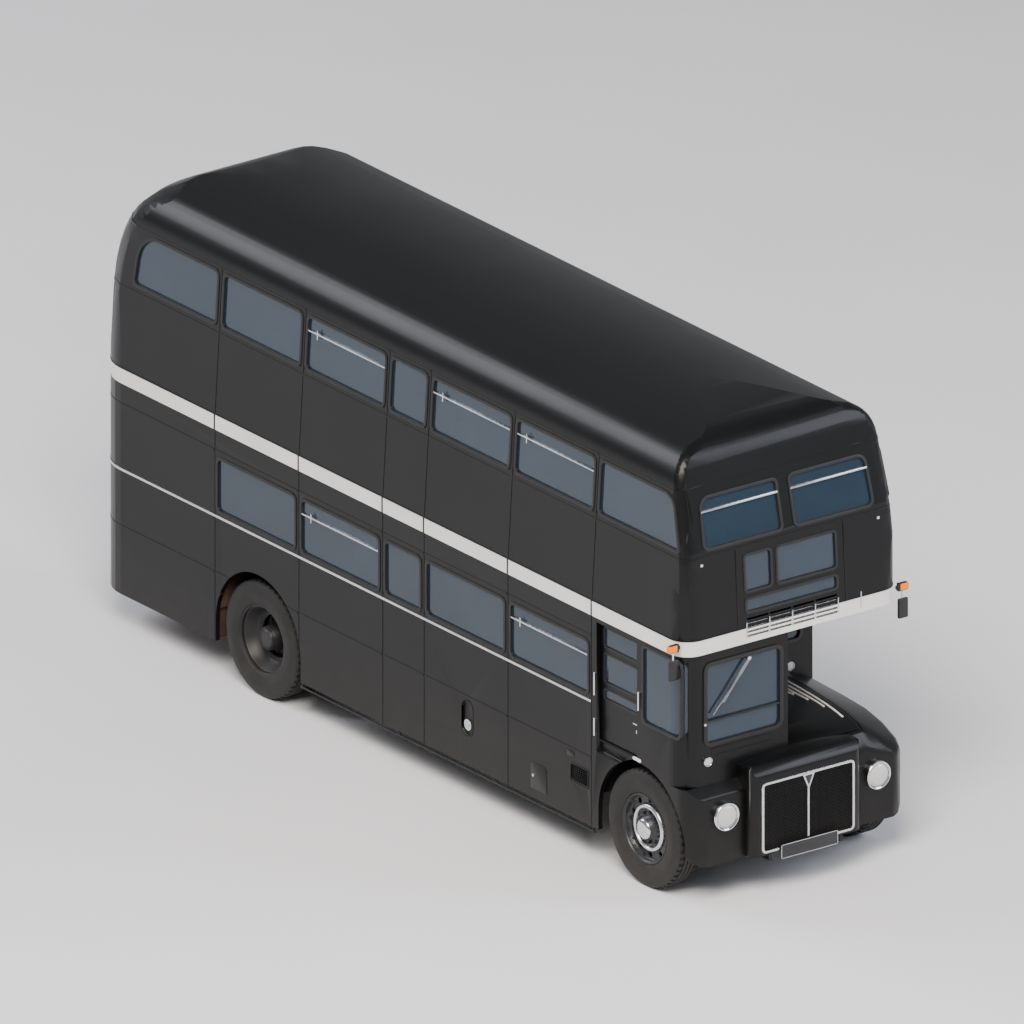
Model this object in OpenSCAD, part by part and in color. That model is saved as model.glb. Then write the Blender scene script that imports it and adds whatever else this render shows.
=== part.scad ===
// Half-cab double-decker bus with a rear open platform.
// Frame: origin on the ground under the middle of the bus, +Z up, front towards -Y,
// driver's side (offside) at -X, kerb side (nearside) at +X. Millimetres.

/* [Overall] */
// Length from the front number plate to the rear number plate
bus_length = 9140; // [8600:10:9800]
// Width over the side panels
body_width = 2440; // [2300:10:2550]
// Height of the roof crown above the ground
roof_height = 4400; // [4300:10:4500]
// Thickness of a body panel with its lining
wall = 45; // [30:1:60]

/* [Axles] */
// Distance between the axles
wheelbase = 5730; // [5400:10:5900]
// Rear axle to the back of the body
rear_overhang = 2505; // [2400:5:2600]
// Front wheels to the middle of the bus, at the middle of the tyre
front_wheel_x = 1060; // [1030:1:1070]
// Kingpin to the middle of the bus
kingpin_x = 850; // [820:1:870]
// Gap between the twin rear tyres
twin_gap = 35; // [25:1:45]

/* [Wheels] */
// Tyre radius
tyre_r = 550; // [520:1:560]
// Tyre width
tyre_w = 280; // [250:1:290]
// Radius where the tyre meets the rim
rim_r = 325; // [300:1:340]
// Radius of the wheel arches
arch_r = 635; // [620:1:650]

/* [Heights] */
// Bottom edge of the skirt panels
skirt_z = 350; // [300:5:400]
// Top of the rear platform
platform_z = 420; // [400:5:460]
// Top of the lower saloon floor
lower_floor_z = 700; // [690:5:730]
// Bottom edge of the lower windows
lower_sill_z = 1605; // [1550:5:1650]
// Height of the lower windows
lower_pane_h = 520; // [480:5:560]
// Bottom edge of the light band at the upper floor
band_z = 2380; // [2370:5:2400]
// Height of the light band
band_h = 145; // [120:5:160]
// Bottom edge of the upper windows
upper_sill_z = 3362; // [3300:2:3400]
// Height of the upper windows
upper_pane_h = 510; // [450:5:520]
// Seam between the sides and the roof
roof_seam_z = 3925; // [3900:5:3950]

/* [Body shape] */
// Rear bay, from the back of the body to the first full pillar
rear_bay = 1850; // [1800:5:1900]
// Full window bay
bay = 1256; // [1200:2:1270]
// Half window bay
half_bay = 620; // [580:2:640]
// Width of the pillar between two panes
pillar_w = 80; // [60:2:100]
// Inward lean of the upper sides in degrees
tumble = 3.5; // [2:0.1:4]
// Radius of the roof cove
cove_r = 350; // [300:5:400]
// Radius of the rear corners in plan
rear_corner_r = 440; // [380:5:460]
// Radius of the front corners in plan
front_corner_r = 200; // [160:5:220]
// Radius of the rear dome seen from the side
rear_dome_r = 1150; // [1000:10:1200]
// Radius of the front dome seen from the side
front_dome_r = 320; // [280:5:360]
// Backward lean of the upper front windows in degrees
screen_lean = 13; // [8:0.5:15]
// Nose length from the upper front to the front number plate
nose_len = 260; // [240:5:300]

/* [Cab] */
// Top of the cab floor
cab_floor_z = 1210; // [1200:2:1230]
// Inner wall of the cab, its kerb side face
cab_wall_x = -50; // [-80:1:-40]
// Width of the cab door opening
door_w = 605; // [580:5:620]
// Bottom of the cab door opening
door_sill_z = 1100; // [1080:5:1110]
// Travel of the sliding cab door
door_travel = 550; // [450:10:560]
// Thickness of the cab door
door_t = 25; // [20:1:30]

/* [Nose] */
// Half width of the radiator cowl
cowl_x = 620; // [590:5:640]
// Top of the bonnet at the bulkhead
bonnet_z = 1420; // [1400:5:1450]
// Outer edge of the bonnet lid
bonnet_x = 780; // [740:5:800]
// Radius of the headlamps
headlamp_r = 140; // [110:5:145]
// Headlamps to the middle of the bus
headlamp_x = 846; // [800:2:870]
// Height of the headlamps
headlamp_z = 838; // [800:2:860]

/* [Seats] */
// Distance between two rows of seats
seat_pitch = 730; // [690:5:760]
// Width of a double seat
seat_w = 790; // [740:5:810]
// Height of a seat back above the floor
seat_h = 930; // [850:10:980]

/* [Hidden] */
$fn = 64;

black = [0.05, 0.05, 0.055];
cream = [0.86, 0.85, 0.80];
steel = [0.55, 0.56, 0.58];
dark = [0.12, 0.12, 0.13];

half_w = body_width / 2;
plate_t = 10;
rear_y = bus_length / 2 - plate_t;
front_y = -bus_length / 2 + nose_len;
rear_axle_y = rear_y - rear_overhang;
front_axle_y = rear_axle_y - wheelbase;
fit = 0.3;
move_gap = 6;
far = 20000;

// Pillars, counted forwards from the rear bay
pillar_y = [rear_y - rear_bay, rear_y - rear_bay - bay, rear_y - rear_bay - 2 * bay,
    rear_y - rear_bay - 2 * bay - half_bay, rear_y - rear_bay - 3 * bay - half_bay,
    rear_y - rear_bay - 4 * bay - half_bay];
bulkhead_y = pillar_y[5];
rear_seam_y = rear_y - rear_corner_r - 20;
front_seam_y = front_y + 100;
tumble_z = band_z + band_h;
pane_r = 60;

// Roof arcs: the cove on each side meets the crown arc without a kink
cove_x = half_w - (roof_seam_z + 15 - tumble_z) * tan(tumble) - cove_r * cos(tumble);
cove_z = roof_seam_z + 15 - cove_r * sin(tumble);
cove_drop = roof_height - cove_z;
crown_r = (cove_x * cove_x + cove_drop * cove_drop - cove_r * cove_r) / (2 * (cove_drop - cove_r));
crown_a = atan2(cove_z - (roof_height - crown_r), cove_x);

// Front profile of the upper deck
sill_set = 55;
brow_r = 6750;
brow_a = 82.3;
dome_z = roof_height - brow_r + (brow_r - front_dome_r) * sin(brow_a);
screen_z = upper_sill_z - 12;
screen_h = 465;
dome_set = sill_set + (dome_z + front_dome_r * sin(screen_lean) - screen_z) * tan(screen_lean);
dome_y = front_y + dome_set + front_dome_r * cos(screen_lean);
brow_y = dome_y + (brow_r - front_dome_r) * cos(brow_a);

function unit(v) = v / norm(v);
function arc(c, r, a0, a1, n) = [for (i = [0:n]) let (a = a0 + (a1 - a0) * i / n) c + r * [cos(a), sin(a)]];
function turn(a) = (a + 900) % 360 - 180;
function corner(p, a, b, r, n) =
    let (u = unit(a - p), w = unit(b - p), h = acos(u * w) / 2,
         c = p + unit(u + w) * (r / sin(h)), s = p + u * (r / tan(h)) - c, e = p + w * (r / tan(h)) - c,
         t0 = atan2(s.y, s.x), dt = turn(atan2(e.y, e.x) - t0))
    arc(c, r, t0, t0 + dt, n);
function rounded(p, r, n = 5) = [for (i = [0:len(p) - 1])
    each corner(p[i], p[(i + len(p) - 1) % len(p)], p[(i + 1) % len(p)], is_list(r) ? r[i] : r, n)];
function box_outline(a, b, c, d) = [[a, b], [c, b], [c, d], [a, d]];
function mirrored(p) = [for (i = [len(p) - 1:-1:0]) [-p[i].x, p[i].y]];

module along_x(x0, x1) translate([x0, 0, 0]) rotate([90, 0, 90]) linear_extrude(x1 - x0) children();
module along_y(y0, y1) translate([0, y1, 0]) rotate([90, 0, 0]) linear_extrude(y1 - y0) children();
module along_z(z0, z1) translate([0, 0, z0]) linear_extrude(z1 - z0) children();
module block(a, b) translate(a) cube(b - a);
module rod_x(p, r, x0, x1) translate([x0, p.x, p.y]) rotate([0, 90, 0]) cylinder(r = r, h = x1 - x0);
module rod_y(p, r, y0, y1) translate([p.x, y1, p.y]) rotate([90, 0, 0]) cylinder(r = r, h = y1 - y0);
module rod_z(p, r, z0, z1) translate([p.x, p.y, z0]) cylinder(r = r, h = z1 - z0);
module both() { children(); mirror([1, 0, 0]) children(); }

// ---- Body envelope: section, plan and side view, each drawn w inside the outer skin ----
function half_section(w) = concat(
    [[half_w - w, skirt_z], [half_w - w, tumble_z]],
    arc([cove_x, cove_z], cove_r - w, tumble, crown_a, 9),
    arc([0, roof_height - crown_r], crown_r - w, crown_a, 90, 5));
function section(w) = concat(half_section(w), mirrored([for (p = half_section(w)) if (p.x > 1) p]));
function plan(w) = rounded(
    [[-half_w + w, front_y + w], [half_w - w, front_y + w], [half_w - w, rear_y - w], [-half_w + w, rear_y - w]],
    [front_corner_r - w, front_corner_r - w, rear_corner_r - w, rear_corner_r - w], 8);
function profile(w) = concat(
    [[front_y + w, skirt_z], [rear_y - w, skirt_z]],
    arc([rear_y - rear_dome_r, roof_height - rear_dome_r], rear_dome_r - w, 0, 90, 14),
    arc([brow_y, roof_height - brow_r], brow_r - w, 90, 180 - brow_a, 5),
    arc([dome_y, dome_z], front_dome_r - w, 180 - brow_a, 180 - screen_lean, 8),
    [[front_y + sill_set + w, screen_z], [front_y + w, tumble_z]]);

// How far the skin reaches to the side, back and front at a height
function side_reach(z, w) = z < tumble_z ? half_w - w
    : z < cove_z + cove_r * sin(tumble) ? half_w - w - (z - tumble_z) * tan(tumble)
    : cove_x + sqrt(pow(cove_r - w, 2) - pow(z - cove_z, 2));
function rear_reach(z, w) = z < roof_height - rear_dome_r ? rear_y - w
    : rear_y - rear_dome_r + sqrt(pow(rear_dome_r - w, 2) - pow(z - roof_height + rear_dome_r, 2));
function front_reach(z, w) = z < tumble_z ? -front_y - w
    : z < screen_z ? -front_y - w - sill_set * (z - tumble_z) / (screen_z - tumble_z)
    : z < dome_z + front_dome_r * sin(screen_lean) ? -front_y - w - sill_set - (z - screen_z) * tan(screen_lean)
    : -dome_y + sqrt(pow(front_dome_r - w, 2) - pow(z - dome_z, 2));

// The upper corners are rounded at every height: what lies past a slanting reach is cut off
corner_z = [skirt_z - 10, tumble_z - 5, 3230, 3450, 3600, 3750, 3850, 3915, 4000, 4060, 4120, 4170, 4205];
brow_corner_r = 100;
function corner_reach(z, w, rear, a) = let (r = (rear ? rear_corner_r : brow_corner_r) - w)
    (side_reach(z, w) - r) * sin(a) + ((rear ? rear_reach(z, w) : front_reach(z, w)) - r) * cos(a) + r + 2;
function corner_line(w, rear, a) = [for (z = corner_z) [corner_reach(z, w, rear, a), z]];
module corner_waste(w, rear, a) rotate([0, 0, rear ? 90 - a : a - 90]) along_y(-far / 4, far / 4)
    polygon(concat(corner_line(w, rear, a),
        [corner_line(w, rear, a)[len(corner_z) - 1] + [-300, 150], [-far / 4, roof_height + 500],
            [far / 2, roof_height + 500], [far / 2, skirt_z - 10]]));
module envelope(w) difference() {
    intersection() {
        along_y(-far / 2, far / 2) polygon(section(w));
        along_z(skirt_z, roof_height) polygon(plan(w));
        along_x(-half_w, half_w) polygon(profile(w));
    }
    both() {
        for (a = [25, 50, 72]) corner_waste(w, true, a);
        for (a = [30, 60]) corner_waste(w, false, a);
    }
}
module skin(w0, w1) difference() { envelope(w0); envelope(w1); }

// ---- Window outlines on the sides, in y and z ----
upper_top_z = upper_sill_z + upper_pane_h;
lower_top_z = lower_sill_z + lower_pane_h;
function pane(y0, y1, z0, z1) = rounded(box_outline(y0, z0, y1, z1), pane_r);
function bay_pane(i, z0, z1) = pane(pillar_y[i + 1] + pillar_w / 2, pillar_y[i] - pillar_w / 2, z0, z1);
rear_pane = rounded([[pillar_y[0] + pillar_w / 2, upper_sill_z], [rear_y - 570, upper_sill_z],
    [rear_y - 640, upper_top_z], [pillar_y[0] + pillar_w / 2, upper_top_z]], [60, 60, 260, 60]);
corner_pane = rounded([[front_y + 130, upper_sill_z], [bulkhead_y - pillar_w / 2, upper_sill_z],
    [bulkhead_y - pillar_w / 2, upper_top_z], [front_y + 255, upper_top_z]], [40, 60, 60, 120]);
cab_side_pane = rounded(box_outline(front_y + 40, 1600, front_y + 600, 2335), [70, 50, 50, 70]);
module upper_panes() {
    for (i = [0:4]) polygon(bay_pane(i, upper_sill_z, upper_top_z));
    polygon(rear_pane);
    polygon(corner_pane);
}
module lower_panes() for (i = [0:4]) polygon(bay_pane(i, lower_sill_z, lower_top_z));

// ---- Window outlines on the front and back, in x and z ----
screen_x0 = 70;
screen_x1 = 945;
function front_pane(side) = rounded(
    [[side * screen_x0, screen_z], [side * screen_x1, screen_z],
     [side * (screen_x1 - 28), screen_z + screen_h], [side * screen_x0, screen_z + screen_h]], [50, 70, 90, 50]);
windscreen = rounded(box_outline(-half_w + 250, 1505, cab_wall_x - 85, 2270), pane_r);
number_blind = rounded(box_outline(-510, 2860, -210, 3210), 35);
route_blind = rounded(box_outline(-150, 2860, 510, 3210), 35);
lower_blind = rounded(box_outline(-510, 2665, 510, 2795), 35);
bulkhead_pane_x = [260, half_w - 130];
module bulkhead_panes() {
    polygon(rounded(box_outline(bulkhead_pane_x.x, lower_sill_z + 20, bulkhead_pane_x.y, lower_top_z), pane_r));
    polygon(rounded(box_outline(-bulkhead_pane_x.y + 60, lower_sill_z + 20, -bulkhead_pane_x.x, lower_top_z), pane_r));
}
module front_panes() { polygon(front_pane(1)); polygon(front_pane(-1)); }
module blinds() { polygon(number_blind); polygon(route_blind); polygon(lower_blind); }
exit_x = 560;
exit_z0 = 3150;
exit_z1 = 3740;
exit_lean = asin((exit_z1 - roof_height + rear_dome_r) / rear_dome_r);
exit_hinge_off = 12;
exit_hinge = [rear_y - rear_dome_r + (rear_dome_r + exit_hinge_off) * cos(exit_lean),
    roof_height - rear_dome_r + (rear_dome_r + exit_hinge_off) * sin(exit_lean)];
exit_hinge_x = [-360, 300];
exit_barrel_l = 60;
module exit_strap(x0, x1, z0, z1) translate([0, exit_hinge.x, exit_hinge.y]) rotate([exit_lean, 0, 0]) {
    rod_x([0, 0], 9, x0, x1);
    block([x0, -exit_hinge_off - 3, z0], [x1, 0, z1]);
}
module exit_outline(g) polygon(rounded(box_outline(-exit_x + g, exit_z0 + g, exit_x - g, exit_z1 - g), 90 - g));

// ---- Upper deck panels ----
side_seam_x = half_w - 170;
module upper_side() intersection() {
    difference() {
        skin(0, wall);
        along_x(side_seam_x, half_w) upper_panes();
    }
    block([side_seam_x, front_seam_y, band_z], [half_w, rear_seam_y, roof_seam_z]);
}
module offside_upper_side() color(black) mirror([1, 0, 0]) upper_side();
module nearside_upper_side() color(black) upper_side();

vent_z = 2436;
module vent_slots() for (i = [0:3], k = [0:4])
    block([-500 + i * 255, front_y - 100, vent_z + k * 40], [-265 + i * 255, front_y + 200, vent_z + k * 40 + 20]);
module upper_front_panel() color(black) difference() {
    intersection() {
        skin(0, wall);
        union() {
            block([-half_w, front_y, band_z], [half_w, front_seam_y, roof_seam_z]);
            block([-side_seam_x, front_y, band_z], [side_seam_x, front_y + 400, roof_seam_z]);
        }
    }
    along_y(front_y - 10, front_y + 400) front_panes();
    along_y(front_y - 10, front_y + 400) blinds();
    both() along_x(side_seam_x, half_w) polygon(corner_pane);
    vent_slots();
}
module upper_rear_panel() color(black) {
    difference() {
        intersection() {
            skin(0, wall);
            block([-half_w, rear_seam_y, band_z], [half_w, rear_y, roof_seam_z]);
        }
        along_y(rear_y - 600, rear_y + 10) exit_outline(0);
    }
    for (x = exit_hinge_x) exit_strap(x + exit_barrel_l + fit, x + exit_barrel_l + 30, 4, 45);
}
module emergency_window() color(black) {
    difference() {
        intersection() {
            skin(0, wall);
            along_y(rear_y - 600, rear_y + 10) exit_outline(move_gap);
        }
        skin_recess();
    }
    for (x = exit_hinge_x) exit_strap(x, x + exit_barrel_l, -45, 0);
}
// The pane of the emergency window is thinner than its frame on both faces
module skin_recess() for (w = [[-1, 14], [24, wall + 1]]) intersection() {
    skin(w.x, w.y);
    along_y(rear_y - 600, rear_y + 10)
        polygon(rounded(box_outline(-exit_x + 70, exit_z0 + 70, exit_x - 70, exit_z1 - 70), 60));
}
module roof() color(black) intersection() {
    skin(0, wall);
    block([-half_w, front_y, roof_seam_z], [half_w, rear_y, roof_height]);
}

// ---- Lower deck panels ----
module arches(r) for (y = [rear_axle_y, front_axle_y]) {
    rod_x([y, tyre_r], r, -half_w - 10, half_w + 10, $fn = 160);
    block([-half_w - 10, y - r, 0], [half_w + 10, y + r, tyre_r]);
}
filler_y = rear_y - 5634;
louvre_y = [rear_y - 7446, rear_y - 7190];
louvre_z = [695, 865];
module lower_side(y0, y1) difference() {
    block([half_w - wall, y0, skirt_z], [half_w, y1, band_z]);
    along_x(half_w - wall - 1, half_w + 1) lower_panes();
    arches(arch_r);
}
module offside_lower_side() color(black) difference() {
    mirror([1, 0, 0]) lower_side(bulkhead_y, rear_seam_y);
    along_x(-half_w - 1, -half_w + 22)
        polygon(rounded(box_outline(filler_y - 80, 630, filler_y + 80, 970), 75));
    along_x(-half_w - 1, -half_w + 25)
        polygon(rounded(box_outline(louvre_y.x, louvre_z.x, louvre_y.y, louvre_z.y), 35));
}
module nearside_lower_side() color(black) lower_side(bulkhead_y, pillar_y[0]);

rear_edge_x = 60;
module lower_rear_panel() color(black) intersection() {
    skin(0, wall);
    block([-half_w, rear_seam_y, skirt_z], [rear_edge_x, rear_y, band_z]);
}

// ---- Floors ----
floor_t = 40;
box_t = 20;
wheel_box_x = 570;
inner_w = half_w - wall;
module wheel_boxes(g) both()
    block([wheel_box_x + g, rear_axle_y - arch_r - 5 + g, lower_floor_z - floor_t - 1],
        [inner_w, rear_axle_y + arch_r + 5 - g, tyre_r + arch_r + 25 - g]);
module lower_floor() color(dark) difference() {
    union() {
        block([-inner_w, bulkhead_y, lower_floor_z - floor_t], [inner_w, pillar_y[0], lower_floor_z]);
        intersection() {
            wheel_boxes(0);
            block([-inner_w, bulkhead_y, lower_floor_z - floor_t], [inner_w, pillar_y[0], band_z]);
        }
    }
    wheel_boxes(box_t);
}
stair_x = [-inner_w + 10, -480];
upper_floor_z = band_z + 80;
stair_hole_y = [pillar_y[0] + box_t * 2 + 10, rear_y - 600];
module upper_floor() color(dark) difference() {
    intersection() {
        envelope(wall);
        block([-inner_w, front_y, upper_floor_z - 60], [inner_w, rear_y, upper_floor_z]);
    }
    block([stair_x.x - 100, stair_hole_y.x, band_z - 10], [stair_x.y, stair_hole_y.y, upper_floor_z + 10]);
}
door_half = 330;
module platform() color(dark) {
    for (part = [[-inner_w, wall], [rear_edge_x, 0]]) intersection() {
        along_z(platform_z - 60, platform_z) polygon(plan(part[1]));
        block([part[0], pillar_y[0], 0], [half_w, rear_y, far]);
    }
    difference() {
        block([-inner_w, pillar_y[0], platform_z], [inner_w, pillar_y[0] + box_t * 2, upper_floor_z - 60]);
        block([-door_half, pillar_y[0] - 1, lower_floor_z], [door_half, pillar_y[0] + 100, 2320]);
    }
}
bulkhead_t = 40;
module front_bulkhead() color(black) difference() {
    union() {
        block([-inner_w, bulkhead_y - bulkhead_t, lower_floor_z - floor_t],
            [inner_w, bulkhead_y, upper_floor_z - 60]);
        block([inner_w, bulkhead_y - bulkhead_t, skirt_z], [half_w, bulkhead_y, band_z]);
    }
    along_y(bulkhead_y - bulkhead_t - 1, bulkhead_y + 1) bulkhead_panes();
    block([-inner_w - 1, bulkhead_y - bulkhead_t - 1, door_sill_z - 40],
        [door_x.y + move_gap, bulkhead_y + 1, band_z - 20]);
}

// ---- Staircase: two steps inwards, a quarter turn, then forwards ----
steps = 9;
rise = (upper_floor_z - platform_z) / steps;
tread_t = 25;
first_run = 250;
turn_y = rear_y - 620;
flight_run = (turn_y - stair_hole_y.x) / (steps - 4);
module tread(a, b, k) block([a.x, a.y, platform_z + k * rise - tread_t], [b.x, b.y, platform_z + k * rise]);
module riser_x(x, k) block([x - tread_t, turn_y, platform_z + (k - 1) * rise], [x, rear_y - wall - 140, platform_z + k * rise]);
module staircase() color(steel) {
    corner_y = rear_y - wall - 140;
    for (k = [1:2]) {
        x1 = stair_x.y + first_run * (3 - k);
        tread([x1 - first_run, turn_y], [x1, corner_y], k);
        riser_x(x1, k);
    }
    tread([stair_x.x + 140, turn_y], [stair_x.y, corner_y], 3);
    riser_x(stair_x.y, 3);
    for (k = [4:8]) {
        y1 = turn_y - flight_run * (k - 4);
        tread([stair_x.x, y1 - flight_run], [stair_x.y, y1], k);
        block([stair_x.x, y1 - tread_t, platform_z + (k - 1) * rise - tread_t],
            [stair_x.y, y1, platform_z + k * rise]);
    }
    stringer = [[turn_y, platform_z + 3 * rise - 25], [turn_y, platform_z + 4 * rise + 60],
        [stair_hole_y.x, upper_floor_z - 62], [stair_hole_y.x, upper_floor_z - 62 - rise]];
    along_x(stair_x.y, stair_x.y + 20) polygon(stringer);
}

// ---- Cab ----
door_x = [-inner_w + move_gap + 1, -inner_w + move_gap + 1 + door_t];
door_y = [bulkhead_y - 78 - door_w, bulkhead_y - 78];
door_top_z = 2340;
wing_top_z = 1120;
cab_inner_pane = rounded(box_outline(front_y + 250, 1600, bulkhead_y - 200, 2250), pane_r);
module cab_side() difference() {
    intersection() {
        skin(0, wall);
        block([-half_w, front_y, skirt_z], [0, bulkhead_y, band_z]);
    }
    arches(arch_r);
    block([-half_w - 1, front_y - 1, 0], [0, front_axle_y, wing_top_z]);
    block([cab_wall_x, front_y - 1, 0], [half_w, bulkhead_y, band_z + 1]);
    block([-half_w - 1, door_y.x, door_sill_z], [-inner_w + 1, door_y.y, door_top_z]);
    along_x(-half_w - 1, -half_w + 160) polygon(cab_side_pane);
    along_y(front_y - 1, front_y + wall + 1) polygon(windscreen);
}
module cab_shell() color(black) {
    cab_side();
    bonnet_ears();
    difference() {
        block([cab_wall_x - 30, front_y + wall, cab_floor_z - 20], [cab_wall_x, bulkhead_y - bulkhead_t, band_z + 20]);
        along_x(cab_wall_x - 31, cab_wall_x + 1) polygon(cab_inner_pane);
    }
    intersection() {
        envelope(wall - 5);
        block([-half_w, front_y, cab_floor_z - 20], [cab_wall_x - 30, bulkhead_y - bulkhead_t, cab_floor_z]);
    }
    difference() {
        block([-inner_w, door_y.x - 15, door_sill_z - 20], [-inner_w + door_t, door_y.y + 15, cab_floor_z - 20]);
        arches(arch_r);
    }
}
door_lap = 18;
door_panes = [for (z = [[2110, 2300], [1770, 2050], [1610, 1710]]) [door_y.x + 45, z.x, door_y.y - 45, z.y]];
shoe_l = 60;
module cab_door() color(black) {
    difference() {
        block([door_x.x, door_y.x - door_lap, cab_floor_z + move_gap],
            [door_x.y, door_y.y + door_lap, door_top_z + door_lap]);
        along_x(door_x.x - 1, door_x.y + 1)
            for (p = door_panes) polygon(rounded(box_outline(p[0], p[1], p[2], p[3]), 30));
    }
    // Sliding shoes that carry the door on the cab floor
    for (y = [door_y.x - door_lap, door_y.y - shoe_l])
        block([door_x.x, y, cab_floor_z + fit], [door_x.y, y + shoe_l, cab_floor_z + move_gap]);
}
module door_glass() color([0.3, 0.4, 0.5, 0.5]) along_x(door_x.x + 8, door_x.x + 14)
    for (p = door_panes) polygon(rounded(box_outline(p[0], p[1], p[2], p[3]), 30));

// ---- Nose: bonnet and kerb side wing are cut from one smooth form ----
wing_front_y = front_y - 110;
// Stations along the nose: y, top height, outer edge height, outer x
nose_stations = [[bulkhead_y, bonnet_z, 1236, half_w], [rear_y - 8000, 1405, 1222, half_w],
    [rear_y - 8350, 1383, 1200, half_w], [rear_y - 8600, 1350, 1145, half_w],
    [wing_front_y + 180, 1300, 1060, half_w - 2], [wing_front_y + 80, 1235, 1022, half_w - 40],
    [wing_front_y + 20, 1130, 1005, half_w - 110], [wing_front_y, 1040, 1000, half_w - 170]];
module nose_form(w) hull() for (s = nose_stations) {
    y = s[0] + (s[0] < front_y ? w : 0);
    along_y(y, y + 1) polygon([[cab_wall_x, skirt_z], [cab_wall_x, s[1] - w], [bonnet_x - 40, s[1] - w - 6],
        [bonnet_x + 60, s[1] - w - 35], [s[3] - w - 50, s[2] - w + 8], [s[3] - w - 12, s[2] - w - 18],
        [s[3] - w, s[2] - w - 60], [s[3] - w, skirt_z]]);
}
lid_gap = 12;
lid_front_y = front_y + 12;
bonnet_hinge = [cab_wall_x + 22, bonnet_z + 10];
bonnet_hinge_y = [front_y + 200, bulkhead_y - 180];
barrel_l = 80;
module bonnet() color(black) {
    intersection() {
        difference() { nose_form(0); nose_form(30); }
        block([cab_wall_x + lid_gap, lid_front_y, 1150], [bonnet_x, bulkhead_y - bulkhead_t - lid_gap, far]);
    }
    for (y = bonnet_hinge_y) {
        rod_y(bonnet_hinge, 10, y, y + barrel_l);
        block([bonnet_hinge.x - 4, y, bonnet_z - 120], [bonnet_hinge.x + 4, y + barrel_l, bonnet_hinge.y]);
    }
}
// Fixed ears of the bonnet hinge, on the cab wall
module bonnet_ears() for (y = bonnet_hinge_y) {
    rod_y(bonnet_hinge, 10, y + barrel_l + fit, y + barrel_l + 30);
    block([cab_wall_x, y + barrel_l + fit, bonnet_hinge.y - 6], [bonnet_hinge.x, y + barrel_l + 30, bonnet_hinge.y + 6]);
}
wing_bottom_z = 380;
wing_outline = concat([[0, far / 10], [0, wing_bottom_z]],
    arc([half_w - 190, wing_bottom_z + 190], 190, 270, 360, 8), [[half_w, far / 10]]);
module wing_bottom() along_y(wing_front_y - 50, bulkhead_y) polygon(wing_outline);
module nearside_wing() color(black) difference() {
    intersection() {
        difference() { nose_form(0); nose_form(25); }
        wing_bottom();
        block([cowl_x, wing_front_y, skirt_z], [half_w, bulkhead_y - bulkhead_t, far]);
    }
    block([cab_wall_x, front_y, 900], [bonnet_x + lid_gap, bulkhead_y + 1, far]);
    arches(arch_r);
}
wing_plan_r = 200;
module wing_form(w) intersection() {
    along_z(skirt_z, wing_top_z) polygon(concat([[-cowl_x, front_axle_y], [-half_w + w, front_axle_y]],
        arc([-half_w + wing_plan_r, wing_front_y + wing_plan_r], wing_plan_r - w, 180, 270, 8),
        [[-cowl_x, wing_front_y + w]]));
    along_x(-half_w, -cowl_x) polygon([[wing_front_y + w, skirt_z - 1], [front_axle_y, skirt_z - 1],
        [front_axle_y, wing_top_z - w], [front_y, wing_top_z - w], [wing_front_y + 20 + w, 1040 - w], [wing_front_y + w, 1010 - w]]);
}
module offside_wing() color(black) difference() {
    intersection() {
        difference() { wing_form(0); wing_form(25); }
        mirror([1, 0, 0]) wing_bottom();
    }
    arches(arch_r);
    block([-half_w + wall, front_y + 2, wing_top_z - 30], [0, front_axle_y + 1, far]);
}
cowl_front_y = front_y - 230;
cowl_t = 25;
cowl_r = 90;
grille_x = 510;
grille_z = [430, 1095];
function cowl_top(w) = arc([0, 1290 - 4200 - w], 4200, 90 - asin(cowl_x / 4200), 90 + asin(cowl_x / 4200), 10);
module cowl_form(w) intersection() {
    along_z(400, 1400) polygon(concat([[cowl_x - w, front_y], [-cowl_x + w, front_y]],
        arc([-cowl_x + cowl_r, cowl_front_y + cowl_r], cowl_r - w, 180, 270, 6),
        arc([cowl_x - cowl_r, cowl_front_y + cowl_r], cowl_r - w, 270, 360, 6)));
    along_x(-cowl_x, cowl_x) polygon([[cowl_front_y + w, 400], [front_y, 400], [front_y, 1290 - w],
        [cowl_front_y + 150, 1275 - w], [cowl_front_y + 90, 1255 - w], [cowl_front_y + 45 + w / 2, 1222 - w],
        [cowl_front_y + 15 + w, 1185 - w], [cowl_front_y + w, 1150 - w]]);
    along_y(cowl_front_y, front_y) polygon(concat([[cowl_x, 400]], cowl_top(w), [[-cowl_x, 400]]));
}
module radiator_cowl() color(black) difference() {
    cowl_form(0);
    difference() {
        cowl_form(cowl_t);
        block([-cowl_x, cowl_front_y, 0], [cowl_x, front_y, 425]);
    }
    block([-cowl_x + cowl_t, front_y - 30, 425], [cowl_x - cowl_t, front_y + 1, 1220]);
    along_y(cowl_front_y - 1, cowl_front_y + cowl_t + 1)
        polygon(rounded(box_outline(-grille_x, grille_z.x, grille_x, grille_z.y), 30));
}
module radiator_grille() color(steel) {
    along_y(cowl_front_y, cowl_front_y + 8)
        polygon(rounded(box_outline(-grille_x, grille_z.x, grille_x, grille_z.y), 30));
    along_y(cowl_front_y - 10, cowl_front_y) difference() {
        polygon(rounded(box_outline(-grille_x - 8, grille_z.x - 8, grille_x + 8, grille_z.y + 8), 38));
        polygon(rounded(box_outline(-grille_x + 20, grille_z.x + 20, grille_x - 20, grille_z.y - 20), 20));
    }
    along_y(cowl_front_y - 14, cowl_front_y) {
        polygon(box_outline(-11, grille_z.x - 8, 11, grille_z.y - 60));
        polygon([[-70, grille_z.y - 2], [0, grille_z.y - 165], [70, grille_z.y - 2]]);
    }
}

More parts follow.
